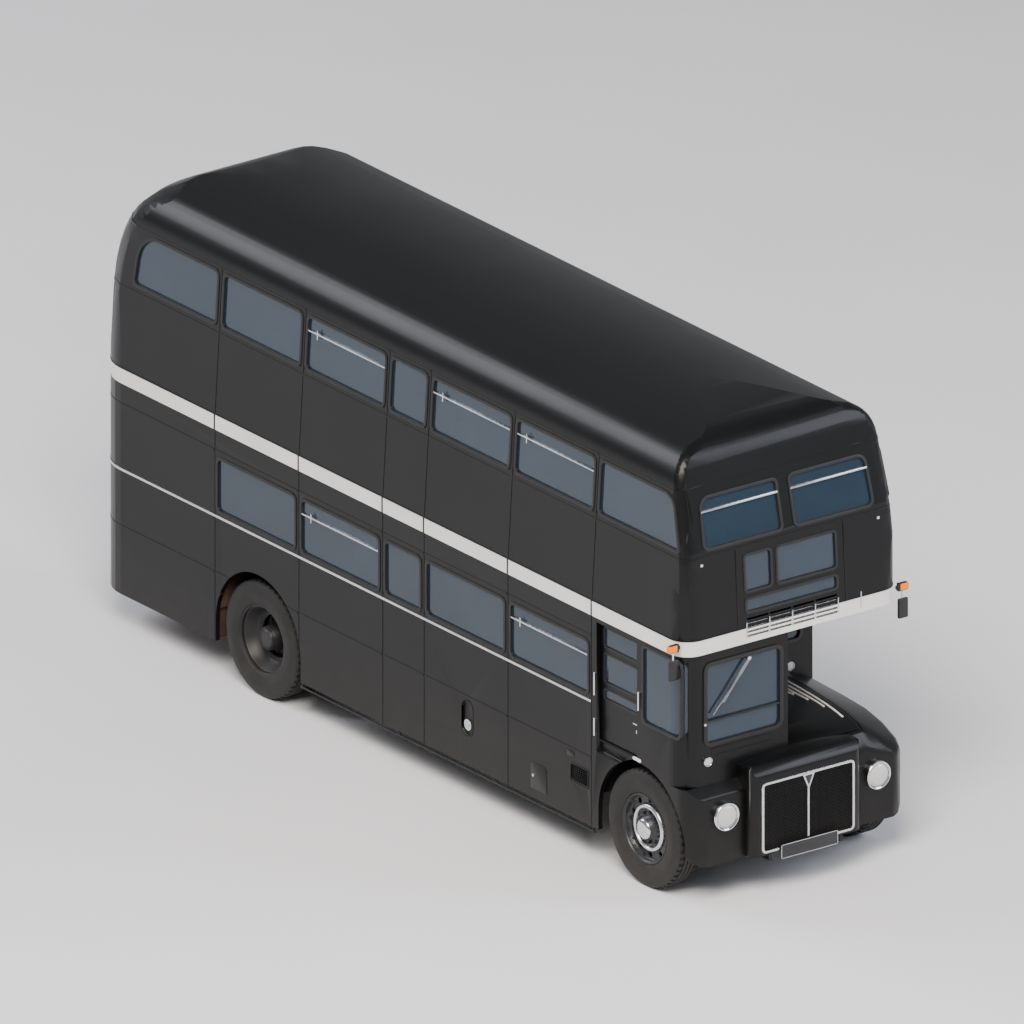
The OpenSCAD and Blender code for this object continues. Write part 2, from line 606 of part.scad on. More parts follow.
// ---- Lamps, mirrors and plates ----
side_lamp_x = half_w - 264;
side_lamp_z = 1350;
bulkhead_lamp_z = 1392;
marker_z = 3225;
marker_y = front_y + sill_set * (marker_z - 18 - tumble_z) / (screen_z - tumble_z);
module lamps() color("white") {
    both() rod_y([headlamp_x, headlamp_z], headlamp_r, wing_front_y - 65, wing_front_y);
    rod_y([-side_lamp_x, side_lamp_z], 48, front_y - 30, front_y);
    rod_y([side_lamp_x, bulkhead_lamp_z], 48, bulkhead_y - bulkhead_t - 30, bulkhead_y - bulkhead_t);
    both() rod_y([half_w - 235, marker_z], 18, marker_y - 16, marker_y);
    for (z = [700, 820]) rod_y([-700, z], 45, rear_y, rear_y + plate_t);
    for (x = [-700, 700]) rod_y([x, 2820], 40, rear_y, rear_y + plate_t);
}
lamp_arm_y = front_y + 75;
indicator_w = 120;
module indicators() color("orange") both() difference() {
    union() {
        block([half_w, lamp_arm_y - 30, 2440], [half_w + indicator_w, lamp_arm_y + 20, 2530]);
        block([half_w - 120, lamp_arm_y - 10, 2465], [half_w, lamp_arm_y + 10, 2505]);
    }
    envelope(0);
}
module mirrors() color(dark) both() {
    rod_z([half_w + 60, lamp_arm_y], 9, 2375, 2440);
    block([half_w + 5, lamp_arm_y - 22, 2180], [half_w + 115, lamp_arm_y + 12, 2375]);
}
plate_z = [335, 475];
module number_plates() color(dark) {
    block([-320, -bus_length / 2, plate_z.x], [320, -bus_length / 2 + 8, plate_z.y]);
    both() block([150, -bus_length / 2 + 8, 401], [190, cowl_front_y, 420]);
    block([-800 + 20, rear_y, 420], [-250 - 20, rear_y + plate_t, 540]);
}

// ---- Glass: each pane follows the skin that it sits in ----
glass_in = [14, 20];
module window_glass() color([0.3, 0.4, 0.5, 0.5]) {
    both() {
        intersection() {
            skin(glass_in.x, glass_in.y);
            along_x(side_seam_x, half_w) upper_panes();
        }
        along_x(half_w - glass_in.y, half_w - glass_in.x) lower_panes();
    }
    intersection() {
        skin(glass_in.x, glass_in.y);
        along_y(front_y, front_y + 400) { front_panes(); blinds(); }
    }
    intersection() {
        skin(glass_in.x, glass_in.y);
        along_y(front_y, front_y + wall) polygon(windscreen);
    }
    intersection() {
        skin(glass_in.x, glass_in.y);
        along_x(-half_w, -half_w + 160) polygon(cab_side_pane);
    }
    along_x(cab_wall_x - 18, cab_wall_x - 12) polygon(cab_inner_pane);
    along_y(bulkhead_y - 23, bulkhead_y - 17) bulkhead_panes();
}

// ---- Seats ----
seat_out = inner_w - 75;
cushion_z = 380;
module seat(x0, x1, y, z, h) {
    block([x0, y - 430, z + cushion_z - 20], [x1, y + 20, z + cushion_z + 80]);
    along_x(x0, x1) polygon([[y - 20, z + cushion_z + 60], [y + 40, z + cushion_z + 60], [y + 110, z + h], [y + 50, z + h]]);
    for (x = [x0 + 80, x1 - 120]) block([x, y - 330, z], [x + 40, y - 60, z + cushion_z - 20]);
}
lower_rows = 5;
upper_rows = 8;
front_seat_y = front_y + 850;
bench_y = [rear_axle_y - arch_r + 40, pillar_y[0] - 40];
module lower_seats() color([0.45, 0.12, 0.10]) {
    both() for (i = [0:lower_rows - 1])
        seat(seat_out - seat_w, seat_out, bulkhead_y + 750 + i * seat_pitch, lower_floor_z, seat_h);
    box_top = tyre_r + arch_r + 25;
    both() {
        block([wheel_box_x + 15, bench_y.x, box_top], [inner_w - 60, bench_y.y, box_top + 90]);
        block([inner_w - 60, bench_y.x, box_top], [inner_w - 8, bench_y.y, box_top + 420]);
    }
}
module upper_seats() color([0.45, 0.12, 0.10]) {
    for (i = [0:upper_rows - 1]) both()
        seat(seat_out - seat_w, seat_out, front_seat_y + i * seat_pitch, upper_floor_z, seat_h);
    seat(seat_out - seat_w, seat_out, front_seat_y + upper_rows * seat_pitch, upper_floor_z, seat_h);
    seat(seat_out - seat_w, seat_out, front_seat_y + (upper_rows + 1) * seat_pitch, upper_floor_z, seat_h);
}
driver_x = -660;
driver_y = front_y + 950;
module driver_seat() color([0.2, 0.12, 0.09]) {
    rod_z([driver_x, driver_y - 200], 60, cab_floor_z, cab_floor_z + 250);
    block([driver_x - 230, driver_y - 430, cab_floor_z + 250], [driver_x + 230, driver_y + 20, cab_floor_z + 340]);
    along_x(driver_x - 220, driver_x + 220) polygon([[driver_y - 30, cab_floor_z + 330], [driver_y + 30, cab_floor_z + 330],
        [driver_y + 90, cab_floor_z + 830], [driver_y + 40, cab_floor_z + 830]]);
}
wheel_hub = [driver_x, driver_y - 560, cab_floor_z + 620];
column_lean = 22;
module steering_wheel() color(dark) translate(wheel_hub) rotate([-column_lean, 0, 0]) {
    rotate_extrude() translate([240, 0]) circle(r = 13, $fn = 24);
    cylinder(r = 45, h = 30, center = true);
    for (a = [90, 210, 330]) rotate([0, 90, a]) cylinder(r = 8, h = 238, $fn = 24);
    translate([0, 0, -15 - column_len]) cylinder(r = 22, h = column_len + 1, $fn = 128);
}
column_len = (wheel_hub.z - cab_floor_z - fit - 22 * sin(column_lean)) / cos(column_lean) - 15;
pole_r = 17;
module grab_rails() color(steel) {
    rod_z([inner_w - 40, rear_y - 320], pole_r, platform_z, upper_floor_z - 60);
    rod_z([inner_w - 70, pillar_y[0] + 90], pole_r, platform_z, upper_floor_z - 60);
    rod_z([rear_edge_x - 40, rear_y - wall - 60], pole_r, platform_z, upper_floor_z - 60);
    for (y = [stair_hole_y.x - 30, stair_hole_y.y + 30])
        rod_z([stair_x.y + 30, y], pole_r, upper_floor_z, upper_floor_z + 900);
    rod_y([stair_x.y + 30, upper_floor_z + 900], pole_r, stair_hole_y.x - 30 - pole_r, stair_hole_y.y + 30 + pole_r);
}

// ---- Chassis ----
rail_x = [380, 455];
rail_z = [490, 655];
spring_x = [500, 560];
spring_t = 50;
leaf_r = 1600;
rear_spring_drop = 100;
leaf_z = rail_z.x - rear_spring_drop + spring_t + leaf_r;
function spring_line(y, half) = concat(
    arc([y, leaf_z], leaf_r + spring_t, 270 - half, 270 + half, 8),
    arc([y, leaf_z], leaf_r, 270 + half, 270 - half, 8));
guard_y = [bulkhead_y - 30, rear_axle_y - arch_r + 30];
module chassis_frame() color(dark) {
    both() block([rail_x.x, front_y + 60, rail_z.x], [rail_x.y, rear_axle_y - 120, rail_z.y]);
    for (y = [front_y + 60, front_y + 1500, -500, rear_axle_y - 220])
        block([-rail_x.x, y, rail_z.x + 20], [rail_x.x, y + 70, rail_z.y - 20]);
    both() block([rail_x.x, front_y - 40, 430], [cowl_x - cowl_t, front_y + 60, rail_z.x]);
    both() {
        along_x(spring_x.x, spring_x.y) polygon(spring_line(rear_axle_y, 22));
        for (y = [rear_axle_y - 655, rear_axle_y + 595]) {
            block([spring_x.x - 12, y, rail_z.x - 60], [spring_x.x, y + 60, lower_floor_z - floor_t]);
            block([spring_x.x - 12, y, rail_z.x - 60 + 25], [spring_x.y, y + 60, rail_z.x + 85]);
        }
    }
    both() for (i = [0:3]) block([rail_x.y, guard_y.x + 600 + i * 1050, rail_z.y - 60],
        [inner_w, guard_y.x + 640 + i * 1050, rail_z.y]);
    both() {
        rod_y([half_w - 25, 298], 10, guard_y.x, guard_y.y);
        for (i = [0:3]) block([half_w - 31, guard_y.x + 20 + i * (guard_y.y - guard_y.x - 60) / 3, 303],
            [half_w - 19, guard_y.x + 40 + i * (guard_y.y - guard_y.x - 60) / 3, skirt_z]);
    }
    tow_eyes();
}
tow_r = 20;
tow_z = 360;
tow_y = front_y - 160;
module tow_eyes() both() difference() {
    union() {
        block([rail_x.x, tow_y - 40, tow_z - 35], [rail_x.x + 30, front_y + 60, tow_z + 35]);
        block([rail_x.x, front_y + 5, tow_z - 35], [rail_x.x + 30, front_y + 60, rail_z.x]);
    }
    rod_x([tow_y, tow_z], tow_r, rail_x.x - 1, rail_x.x + 31);
}
beam_z = [400, 470];
casing_r = 72;
stub_r = 40;
pin_r = 22;
eye_z = [505, 595];
module front_axle() {
    block([-kingpin_x + 70, front_axle_y - 45, beam_z.x], [kingpin_x - 70, front_axle_y + 45, beam_z.y]);
    both() {
        difference() {
            union() {
                rod_z([kingpin_x, front_axle_y], 52, eye_z.x, eye_z.y);
                block([kingpin_x - 100, front_axle_y - 40, beam_z.x], [kingpin_x - 60, front_axle_y + 40, eye_z.y]);
                block([kingpin_x - 65, front_axle_y - 40, eye_z.x], [kingpin_x, front_axle_y + 40, eye_z.y]);
            }
            rod_z([kingpin_x, front_axle_y], pin_r + fit, 0, 900);
        }
        block([rail_x.x, front_axle_y - 40, beam_z.y], [rail_x.y, front_axle_y + 40, rail_z.x]);
    }
}
hub_end_x = front_wheel_x + 60;
inner_twin_x = front_wheel_x - tyre_w - twin_gap;
diff_r = 165;
module rear_axle() {
    rod_x([rear_axle_y, tyre_r], casing_r, -spring_x.y - 15, spring_x.y + 15);
    rod_y([0, tyre_r - 60], diff_r, rear_axle_y - 110, rear_axle_y + 110);
    both() {
        rod_x([rear_axle_y, tyre_r], stub_r, spring_x.y, hub_end_x);
        difference() {
            block([spring_x.x, rear_axle_y - 60, rail_z.x - rear_spring_drop + spring_t],
                [spring_x.y, rear_axle_y + 60, tyre_r]);
            along_x(spring_x.x - 1, spring_x.y + 1) polygon(spring_line(rear_axle_y, 22));
        }
    }
}
module axles() color(dark) { front_axle(); rear_axle(); }
module knuckle() {
    rod_z([kingpin_x, front_axle_y], pin_r, eye_z.x - 40, eye_z.y + 40);
    for (z = [eye_z.x - 45, eye_z.y + 5]) hull() {
        rod_z([kingpin_x, front_axle_y], 45, z, z + 40);
        block([kingpin_x + 64, front_axle_y - 45, z], [kingpin_x + 74, front_axle_y + 45, z + 40]);
    }
    block([kingpin_x + 64, front_axle_y - 45, eye_z.x - 45], [kingpin_x + 84, front_axle_y + 45, eye_z.y + 45]);
    rod_x([front_axle_y, tyre_r], stub_r, kingpin_x + 80, hub_end_x);
    block([kingpin_x - 20, front_axle_y + 45, eye_z.x - 45], [kingpin_x + 20, front_axle_y + 190, eye_z.x - 20]);
    block([kingpin_x - 20, front_axle_y + 30, eye_z.x - 45], [kingpin_x + 20, front_axle_y + 60, eye_z.x - 20]);
}
module nearside_knuckle() color(dark) knuckle();
module offside_knuckle() color(dark) mirror([1, 0, 0]) knuckle();
engine_x = 300;
module engine() color(dark) {
    block([-engine_x, front_y + 160, 500], [engine_x, bulkhead_y - 250, 1150]);
    for (y = [front_y + 300, bulkhead_y - 400])
        block([-rail_x.x, y, 530], [rail_x.x, y + 60, 590]);
}

// ---- Wheels: profiles turn about the axle, x outwards ----
module turned(x, y) translate([x, y, tyre_r]) rotate([0, 90, 0]) rotate_extrude($fn = 72) children();
module tyre_section(x) translate([0, x]) polygon(rounded([[rim_r, -tyre_w / 2 + 30], [tyre_r - 60, -tyre_w / 2],
    [tyre_r, -tyre_w / 2 + 35], [tyre_r, tyre_w / 2 - 35], [tyre_r - 60, tyre_w / 2], [rim_r, tyre_w / 2 - 30]],
    [1, 60, 25, 25, 60, 1], 6));
rim_t = 12;
drum_r = 210;
hub_r = 105;
module rim_section(x, disc_x) translate([0, x]) {
    polygon(box_outline(rim_r - rim_t, -tyre_w / 2 + 20, rim_r, tyre_w / 2 - 30));
    polygon(box_outline(hub_r - 10, disc_x, rim_r - rim_t + 1, disc_x + 14));
}
vent_holes = 10;
module front_wheel() difference() {
    turned(front_wheel_x, front_axle_y) {
        rim_section(0, 40);
        polygon(box_outline(stub_r + fit, -100, hub_r, 125));
        polygon(box_outline(hub_r, -90, drum_r, 40));
    }
    for (i = [0:vent_holes - 1]) translate([front_wheel_x, front_axle_y, tyre_r]) rotate([i * 360 / vent_holes, 0, 0])
        translate([39, 0, 262]) rotate([0, 90, 0]) cylinder(r = 28, h = 16);
}
module rear_wheels() difference() {
    turned(front_wheel_x, rear_axle_y) {
        rim_section(0, -110);
        translate([0, -tyre_w - twin_gap]) rim_section(0, 96);
        polygon(box_outline(stub_r + fit, -390, hub_r, 70));
        polygon(box_outline(hub_r - 1, -109, hub_r + 60, -97));
        polygon(box_outline(hub_r - 1, -400 + 10, drum_r, -250));
        polygon(box_outline(hub_r - 1, -219, 200, -110));
    }
    for (i = [0:vent_holes - 1]) translate([front_wheel_x, rear_axle_y, tyre_r]) rotate([i * 360 / vent_holes, 0, 0])
        translate([-240, 0, 262]) rotate([0, 90, 0]) cylinder(r = 28, h = 200);
}
module nearside_front_wheel() color(steel) front_wheel();
module offside_front_wheel() color(steel) mirror([1, 0, 0]) front_wheel();
module nearside_rear_wheels() color(steel) rear_wheels();
module offside_rear_wheels() color(steel) mirror([1, 0, 0]) rear_wheels();
module front_tyre() turned(front_wheel_x, front_axle_y) tyre_section(0);
module rear_tyres() {
    turned(front_wheel_x, rear_axle_y) tyre_section(0);
    turned(inner_twin_x, rear_axle_y) tyre_section(0);
}
module nearside_front_tyre() color("#181818") front_tyre();
module offside_front_tyre() color("#181818") mirror([1, 0, 0]) front_tyre();
module nearside_rear_tyres() color("#181818") rear_tyres();
module offside_rear_tyres() color("#181818") mirror([1, 0, 0]) rear_tyres();

offside_lower_side();
nearside_lower_side();
offside_upper_side();
nearside_upper_side();
upper_front_panel();
upper_rear_panel();
lower_rear_panel();
roof();
lower_floor();
upper_floor();
platform();
front_bulkhead();
staircase();
cab_shell();
cab_door();
bonnet();
radiator_cowl();
radiator_grille();
offside_wing();
nearside_wing();
lamps();
indicators();
mirrors();
number_plates();
window_glass();
door_glass();
emergency_window();
lower_seats();
upper_seats();
driver_seat();
steering_wheel();
grab_rails();
chassis_frame();
axles();
offside_knuckle();
nearside_knuckle();
engine();
offside_front_wheel();
nearside_front_wheel();
offside_rear_wheels();
nearside_rear_wheels();
offside_front_tyre();
nearside_front_tyre();
offside_rear_tyres();
nearside_rear_tyres();
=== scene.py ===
"""Looks of a half-cab double decker bus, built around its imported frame.

Each sub-assembly is a class with its sizes as fields, and each finish is a small class.
main() builds them in order.
"""

import logging
import math
from dataclasses import dataclass, field
from enum import Enum
from typing import Callable, Optional, Sequence

import bmesh
import bpy
from bmesh.types import BMFace, BMVert
from mathutils import Matrix, Vector
from mathutils.bvhtree import BVHTree


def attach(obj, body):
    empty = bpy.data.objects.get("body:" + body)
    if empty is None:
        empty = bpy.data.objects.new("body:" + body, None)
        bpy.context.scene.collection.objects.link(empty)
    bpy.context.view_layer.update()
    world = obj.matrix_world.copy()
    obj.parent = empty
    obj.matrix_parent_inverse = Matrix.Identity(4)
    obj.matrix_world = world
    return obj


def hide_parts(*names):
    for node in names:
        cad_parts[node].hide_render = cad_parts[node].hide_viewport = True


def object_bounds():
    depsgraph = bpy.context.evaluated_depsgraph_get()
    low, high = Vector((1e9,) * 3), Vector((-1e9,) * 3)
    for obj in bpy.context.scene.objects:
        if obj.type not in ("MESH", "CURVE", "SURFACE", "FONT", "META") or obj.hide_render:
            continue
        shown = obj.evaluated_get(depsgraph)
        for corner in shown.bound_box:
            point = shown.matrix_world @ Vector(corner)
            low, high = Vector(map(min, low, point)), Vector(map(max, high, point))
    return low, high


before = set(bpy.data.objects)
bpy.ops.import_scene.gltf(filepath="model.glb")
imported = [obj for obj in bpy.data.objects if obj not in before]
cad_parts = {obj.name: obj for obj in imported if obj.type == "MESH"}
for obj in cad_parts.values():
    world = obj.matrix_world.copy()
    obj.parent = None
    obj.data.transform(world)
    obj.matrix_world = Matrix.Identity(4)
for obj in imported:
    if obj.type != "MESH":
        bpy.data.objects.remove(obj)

CAD_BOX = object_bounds()
LOG = logging.getLogger("bus")
Point = Sequence[float]
Outline = list[tuple[float, float]]

# Main sizes of the vehicle, in metres, as in its frame
HALF_WIDTH = 1.220
REAR = 4.560
FRONT = -4.310
TUMBLE_Z = 2.525
BAND = (2.380, 2.525)
TUMBLE = math.radians(3.5)
PILLARS = (2.710, 1.454, 0.198, -0.422, -1.678, -2.934)
PILLAR_HALF = 0.040
UPPER_SILL, UPPER_TOP = 3.362, 3.872
LOWER_SILL, LOWER_TOP = 1.605, 2.125
SCREEN_Z = 3.350
SILL_SET = 0.055
SCREEN_LEAN = math.radians(13)
SILL_LEAN = math.atan2(SILL_SET, SCREEN_Z - TUMBLE_Z)
BULKHEAD_FACE = -2.974
FRONT_AXLE, REAR_AXLE, AXLE_Z = -3.675, 2.055, 0.550


class Side(Enum):
    """The two sides of the vehicle, as the sign of x."""

    OFFSIDE = -1
    NEARSIDE = 1

    @property
    def label(self) -> str:
        """The side's name in small letters."""
        return self.name.lower()


# ---- Finishes ----


def srgb(code: str, alpha: float = 1.0) -> tuple[float, float, float, float]:
    """Turn an sRGB hex colour to linear.

    Args:
        code: Six hex digits.
        alpha: Opacity.

    Returns:
        Linear red, green, blue and alpha.
    """
    parts = [int(code[i : i + 2], 16) / 255 for i in (0, 2, 4)]
    red, green, blue = (c / 12.92 if c <= 0.04045 else ((c + 0.055) / 1.055) ** 2.4 for c in parts)
    return (red, green, blue, alpha)


def add_node(
    tree: bpy.types.NodeTree, kind: str, inputs: Optional[dict] = None, **settings: object
) -> bpy.types.Node:
    """Add a shader node with its settings and links.

    Args:
        tree: The tree that takes it.
        kind: The node's type name, without its ShaderNode prefix.
        inputs: Socket name or index to a value, or to an output socket to link.
        **settings: Attributes of the node.

    Returns:
        The new node.
    """
    made = tree.nodes.new("ShaderNode" + kind)
    for key, value in settings.items():
        setattr(made, key, value)
    for key, value in (inputs or {}).items():
        if isinstance(value, bpy.types.NodeSocket):
            tree.links.new(value, made.inputs[key])
        else:
            made.inputs[key].default_value = value
    return made


@dataclass(frozen=True)
class Finish:
    """A surface finish: one principled shader with its patterns.

    Pattern sizes are real lengths in millimetres.
    """

    name: str
    colour: str
    second: str = ""
    rough: float = 0.4
    rough_spread: float = 0.08
    metallic: float = 0.0
    ior: float = 1.5
    coat: float = 0.0
    coat_rough: float = 0.05
    sheen: float = 0.0
    clear: float = 0.0
    glow: float = 0.0
    grain_mm: float = 60.0
    relief_mm: float = 0.0
    blotch_mm: float = 700.0
    dust: float = 0.0

    def place(self, tree: bpy.types.NodeTree) -> bpy.types.NodeSocket:
        """The coordinates that every pattern of this finish reads."""
        return add_node(tree, "TexCoord").outputs["Object"]

    def noise(
        self, tree: bpy.types.NodeTree, size_mm: float, detail: float = 3.0, stretch: Point = (1, 1, 1)
    ) -> bpy.types.NodeSocket:
        """A noise whose blobs are about size_mm across.

        Args:
            tree: The material's tree.
            size_mm: Size of one blob.
            detail: Octaves.
            stretch: Scale along each axis.

        Returns:
            The noise factor.
        """
        place = self.place(tree)
        if tuple(stretch) != (1, 1, 1):
            place = add_node(tree, "Mapping", {"Vector": place, "Scale": tuple(stretch)}).outputs[0]
        return add_node(
            tree, "TexNoise", {"Vector": place, "Scale": 1000.0 / size_mm, "Detail": detail}
        ).outputs["Fac"]

    def colour_of(self, tree: bpy.types.NodeTree) -> bpy.types.NodeSocket:
        """The base colour: the two colours mixed in soft blotches, with road dust low down."""
        blotch = add_node(
            tree, "MapRange",
            {"Value": self.noise(tree, self.blotch_mm), "From Min": 0.35, "From Max": 0.65},
        ).outputs[0]
        mixed = add_node(
            tree, "Mix", {0: blotch, 6: srgb(self.colour), 7: srgb(self.second or self.colour)},
            data_type="RGBA",
        ).outputs[2]
        if not self.dust:
            return mixed
        height = add_node(tree, "SeparateXYZ", {0: self.place(tree)}).outputs[2]
        low = add_node(
            tree, "MapRange",
            {"Value": height, "From Min": 0.25, "From Max": 1.15, "To Min": self.dust, "To Max": 0.0},
        ).outputs[0]
        patchy = add_node(
            tree, "Math", {0: low, 1: self.noise(tree, 140.0, 5.0)}, operation="MULTIPLY"
        ).outputs[0]
        return add_node(
            tree, "Mix", {0: patchy, 6: mixed, 7: srgb("8a7f70")}, data_type="RGBA"
        ).outputs[2]

    def height_of(self, tree: bpy.types.NodeTree) -> bpy.types.NodeSocket:
        """The relief pattern, from 0 to 1."""
        return self.noise(tree, self.grain_mm)

    def roughness_of(self, tree: bpy.types.NodeTree) -> bpy.types.NodeSocket:
        """Roughness that wanders around its middle value, as hands and weather leave it."""
        return add_node(
            tree, "MapRange",
            {
                "Value": self.noise(tree, self.grain_mm * 4, 4.0),
                "To Min": max(0.02, self.rough - self.rough_spread),
                "To Max": self.rough + self.rough_spread,
            },
        ).outputs[0]

    def build(self) -> bpy.types.Material:
        """Make the material, once.

        Returns:
            The material, from the file if it was made before.
        """
        found = bpy.data.materials.get(self.name)
        if found:
            return found
        material = bpy.data.materials.new(self.name)
        material.use_nodes = True
        tree = material.node_tree
        tree.nodes.clear()
        shader = add_node(
            tree, "BsdfPrincipled",
            {
                "Base Color": self.colour_of(tree),
                "Roughness": self.roughness_of(tree),
                "Metallic": self.metallic,
                "Coat Weight": self.coat,
                "Coat Roughness": self.coat_rough,
                "Sheen Weight": self.sheen,
                "Transmission Weight": self.clear,
            },
        )
        if not self.metallic:
            shader.inputs["IOR"].default_value = self.ior
        if self.glow:
            shader.inputs["Emission Color"].default_value = srgb(self.colour)
            shader.inputs["Emission Strength"].default_value = self.glow
        if self.relief_mm:
            bump = add_node(
                tree, "Bump",
                {"Height": self.height_of(tree), "Distance": self.relief_mm / 1000, "Strength": 0.6},
            )
            tree.links.new(bump.outputs[0], shader.inputs["Normal"])
        add_node(tree, "OutputMaterial", {"Surface": shader.outputs[0]})
        return material


@dataclass(frozen=True)
class Brushed(Finish):
    """Metal with fine lines left along one axis by polishing or rolling."""

    along: int = 1

    def height_of(self, tree: bpy.types.NodeTree) -> bpy.types.NodeSocket:
        """Lines along one axis: noise squeezed across it."""
        stretch = [1.0, 1.0, 1.0]
        stretch[self.along] = 0.04
        return self.noise(tree, self.grain_mm, 2.0, stretch)


@dataclass(frozen=True)
class Woven(Finish):
    """Cloth: crossed threads over a woven check."""

    check_mm: float = 90.0

    def height_of(self, tree: bpy.types.NodeTree) -> bpy.types.NodeSocket:
        """Threads in two directions."""
        waves = [
            add_node(
                tree, "TexWave",
                {"Vector": self.place(tree), "Scale": 1000.0 / self.grain_mm / 6.283, "Distortion": 0.4},
                bands_direction=axis,
            ).outputs["Fac"]
            for axis in ("X", "Z")
        ]
        return add_node(tree, "Math", {0: waves[0], 1: waves[1]}, operation="MAXIMUM").outputs[0]

    def colour_of(self, tree: bpy.types.NodeTree) -> bpy.types.NodeSocket:
        """A small check of the two yarn colours, softened by the pile."""
        check = add_node(
            tree, "TexChecker",
            {
                "Vector": self.place(tree), "Scale": 1000.0 / self.check_mm,
                "Color1": srgb(self.colour), "Color2": srgb(self.second or self.colour),
            },
        ).outputs["Color"]
        shade = add_node(
            tree, "MapRange", {"Value": self.noise(tree, 25.0, 5.0), "To Min": 0.0, "To Max": 0.5}
        ).outputs[0]
        return add_node(
            tree, "Mix", {0: shade, 6: check, 7: srgb(self.colour)}, data_type="RGBA"
        ).outputs[2]


@dataclass(frozen=True)
class Hide(Finish):
    """Leather or leathercloth: pebbled cells between fine creases."""

    def height_of(self, tree: bpy.types.NodeTree) -> bpy.types.NodeSocket:
        """Cells of the grain."""
        return add_node(
            tree, "TexVoronoi", {"Vector": self.place(tree), "Scale": 1000.0 / self.grain_mm}
        ).outputs["Distance"]


@dataclass(frozen=True)
class Slatted(Finish):
    """Ribbed floor covering of hardwood slats that run along the vehicle."""

    slat_mm: float = 38.0

    def height_of(self, tree: bpy.types.NodeTree) -> bpy.types.NodeSocket:
        """Slats side by side with narrow gaps."""
        return add_node(
            tree, "TexWave",
            {"Vector": self.place(tree), "Scale": 1000.0 / self.slat_mm / 6.283},
            bands_direction="X", wave_profile="SIN",
        ).outputs["Fac"]


# Coach enamel: sprayed and rubbed down to a near black satin, with slow ripples of hand-beaten panels
BLACK_ENAMEL = Finish(
    "black_coach_enamel", "060708", "08090a", rough=0.36, rough_spread=0.05, ior=1.32, coat=0.06,
    coat_rough=0.08,
    grain_mm=260, relief_mm=0.6, dust=0.05,
)
# The same enamel in cream on the waistband
CREAM_ENAMEL = Finish(
    "cream_coach_enamel", "e9e6e2", "dfdcd8", rough=0.30, coat=0.25, coat_rough=0.10, grain_mm=260,
    relief_mm=0.5,
)
# Stove-enamelled lining panels: satin, a little yellowed
LINING = Finish("satin_lining_enamel", "cfc6ad", "c6bda3", rough=0.45, grain_mm=90, relief_mm=0.3)
# Leathercloth below the waist inside
LOWER_LINING = Hide("green_leathercloth", "43543f", "3a4a37", rough=0.55, grain_mm=12, relief_mm=0.6)
# Tinted toughened glass: dark slate blue, faint waviness
WINDOW_GLASS = Finish(
    "tinted_toughened_glass", "2f4254", "2b3d4e", rough=0.04, rough_spread=0.02, ior=1.5, clear=0.45,
    grain_mm=800, relief_mm=0.4,
)
# Extruded gasket rubber: near black, dull with a bloom
GASKET = Finish("gasket_rubber", "08080a", "0d0d0f", rough=0.55, grain_mm=20, relief_mm=0.15)
# Chrome plate over brass
CHROME = Finish("chrome_plate", "d8d9dc", "cfd1d5", rough=0.10, rough_spread=0.04, metallic=1.0, grain_mm=50)
# Polished aluminium beading, drawn along the vehicle
BRIGHT_ALUMINIUM = Brushed(
    "polished_aluminium", "d6d7da", "c8cacd", rough=0.26, metallic=1.0, grain_mm=6, relief_mm=0.1,
)
# Bare cast and rolled aluminium of the stair
STAIR_ALUMINIUM = Finish(
    "rolled_aluminium", "9fa2a5", "8c8f92", rough=0.42, rough_spread=0.1, metallic=1.0, grain_mm=30,
    relief_mm=0.3,
)
# Vulcanised tyre rubber: dull black, faintly dusty low down
TYRE_RUBBER = Finish(
    "vulcanised_tyre_rubber", "0c0c0c", "161514", rough=0.72, rough_spread=0.08, grain_mm=14, relief_mm=0.5,
    blotch_mm=160, dust=0.06,
)
# Brushed-on wheel paint: dark blue-grey, satin
WHEEL_PAINT = Finish(
    "blue_grey_wheel_enamel", "1c1f25", "181b20", rough=0.42, coat=0.1, grain_mm=40, relief_mm=0.3, dust=0.06,
)
# The wheel enamel made darker for the rear wheels and hubs: painted shade for the shadow under the body
SHADED_WHEEL_PAINT = Finish("wheel_enamel_painted_shade", "121317", "0f1013", rough=0.5, grain_mm=30, relief_mm=0.3, dust=0.08)
# Chassis black over riveted steel
CHASSIS_PAINT = Finish(
    "chassis_black", "0f0f10", "191817", rough=0.6, grain_mm=35, relief_mm=0.5, blotch_mm=180
)
# Sand-cast iron under engine paint
ENGINE_IRON = Finish(
    "sand_cast_iron", "2f3231", "3a3b38", rough=0.65, grain_mm=9, relief_mm=0.8, blotch_mm=120
)
# Moulded acrylic indicator lens: orange, glossy, a little light held inside
AMBER = Finish(
    "moulded_amber_acrylic", "f07a00", "e87200", rough=0.25, clear=0.02, ior=1.40, glow=0.30, grain_mm=14,
    relief_mm=0.4,
)
# The same acrylic in red at the tail
RED_LENS = Finish(
    "moulded_red_acrylic", "a80d0d", "9a0b0b", rough=0.2, ior=1.49, glow=0.05, grain_mm=12, relief_mm=0.4
)
# Pressed lamp glass over a silvered bowl: white, fluted
LAMP_GLASS = Finish(
    "pressed_lamp_glass", "f1f2ee", "e4e6e4", rough=0.10, ior=1.52, clear=0.35, grain_mm=24, relief_mm=1.2
)
# Moulded ABS, black
BLACK_PLASTIC = Hide("grained_black_abs", "121214", "17171a", rough=0.5, grain_mm=6, relief_mm=0.25)
# Enamelled number plate, dark grey and blank
PLATE = Finish("pressed_plate_enamel", "1d1e20", "222326", rough=0.35, grain_mm=40, relief_mm=0.2)
# Wool moquette: cut pile in a small check
MOQUETTE = Woven(
    "wool_moquette", "6e1f22", "3d2c3a", rough=0.9, sheen=0.5, grain_mm=7, relief_mm=0.8, check_mm=70,
)
# Cab seat leather
LEATHER = Hide("brown_seat_leather", "3a2318", "2f1c13", rough=0.45, grain_mm=8, relief_mm=0.6)
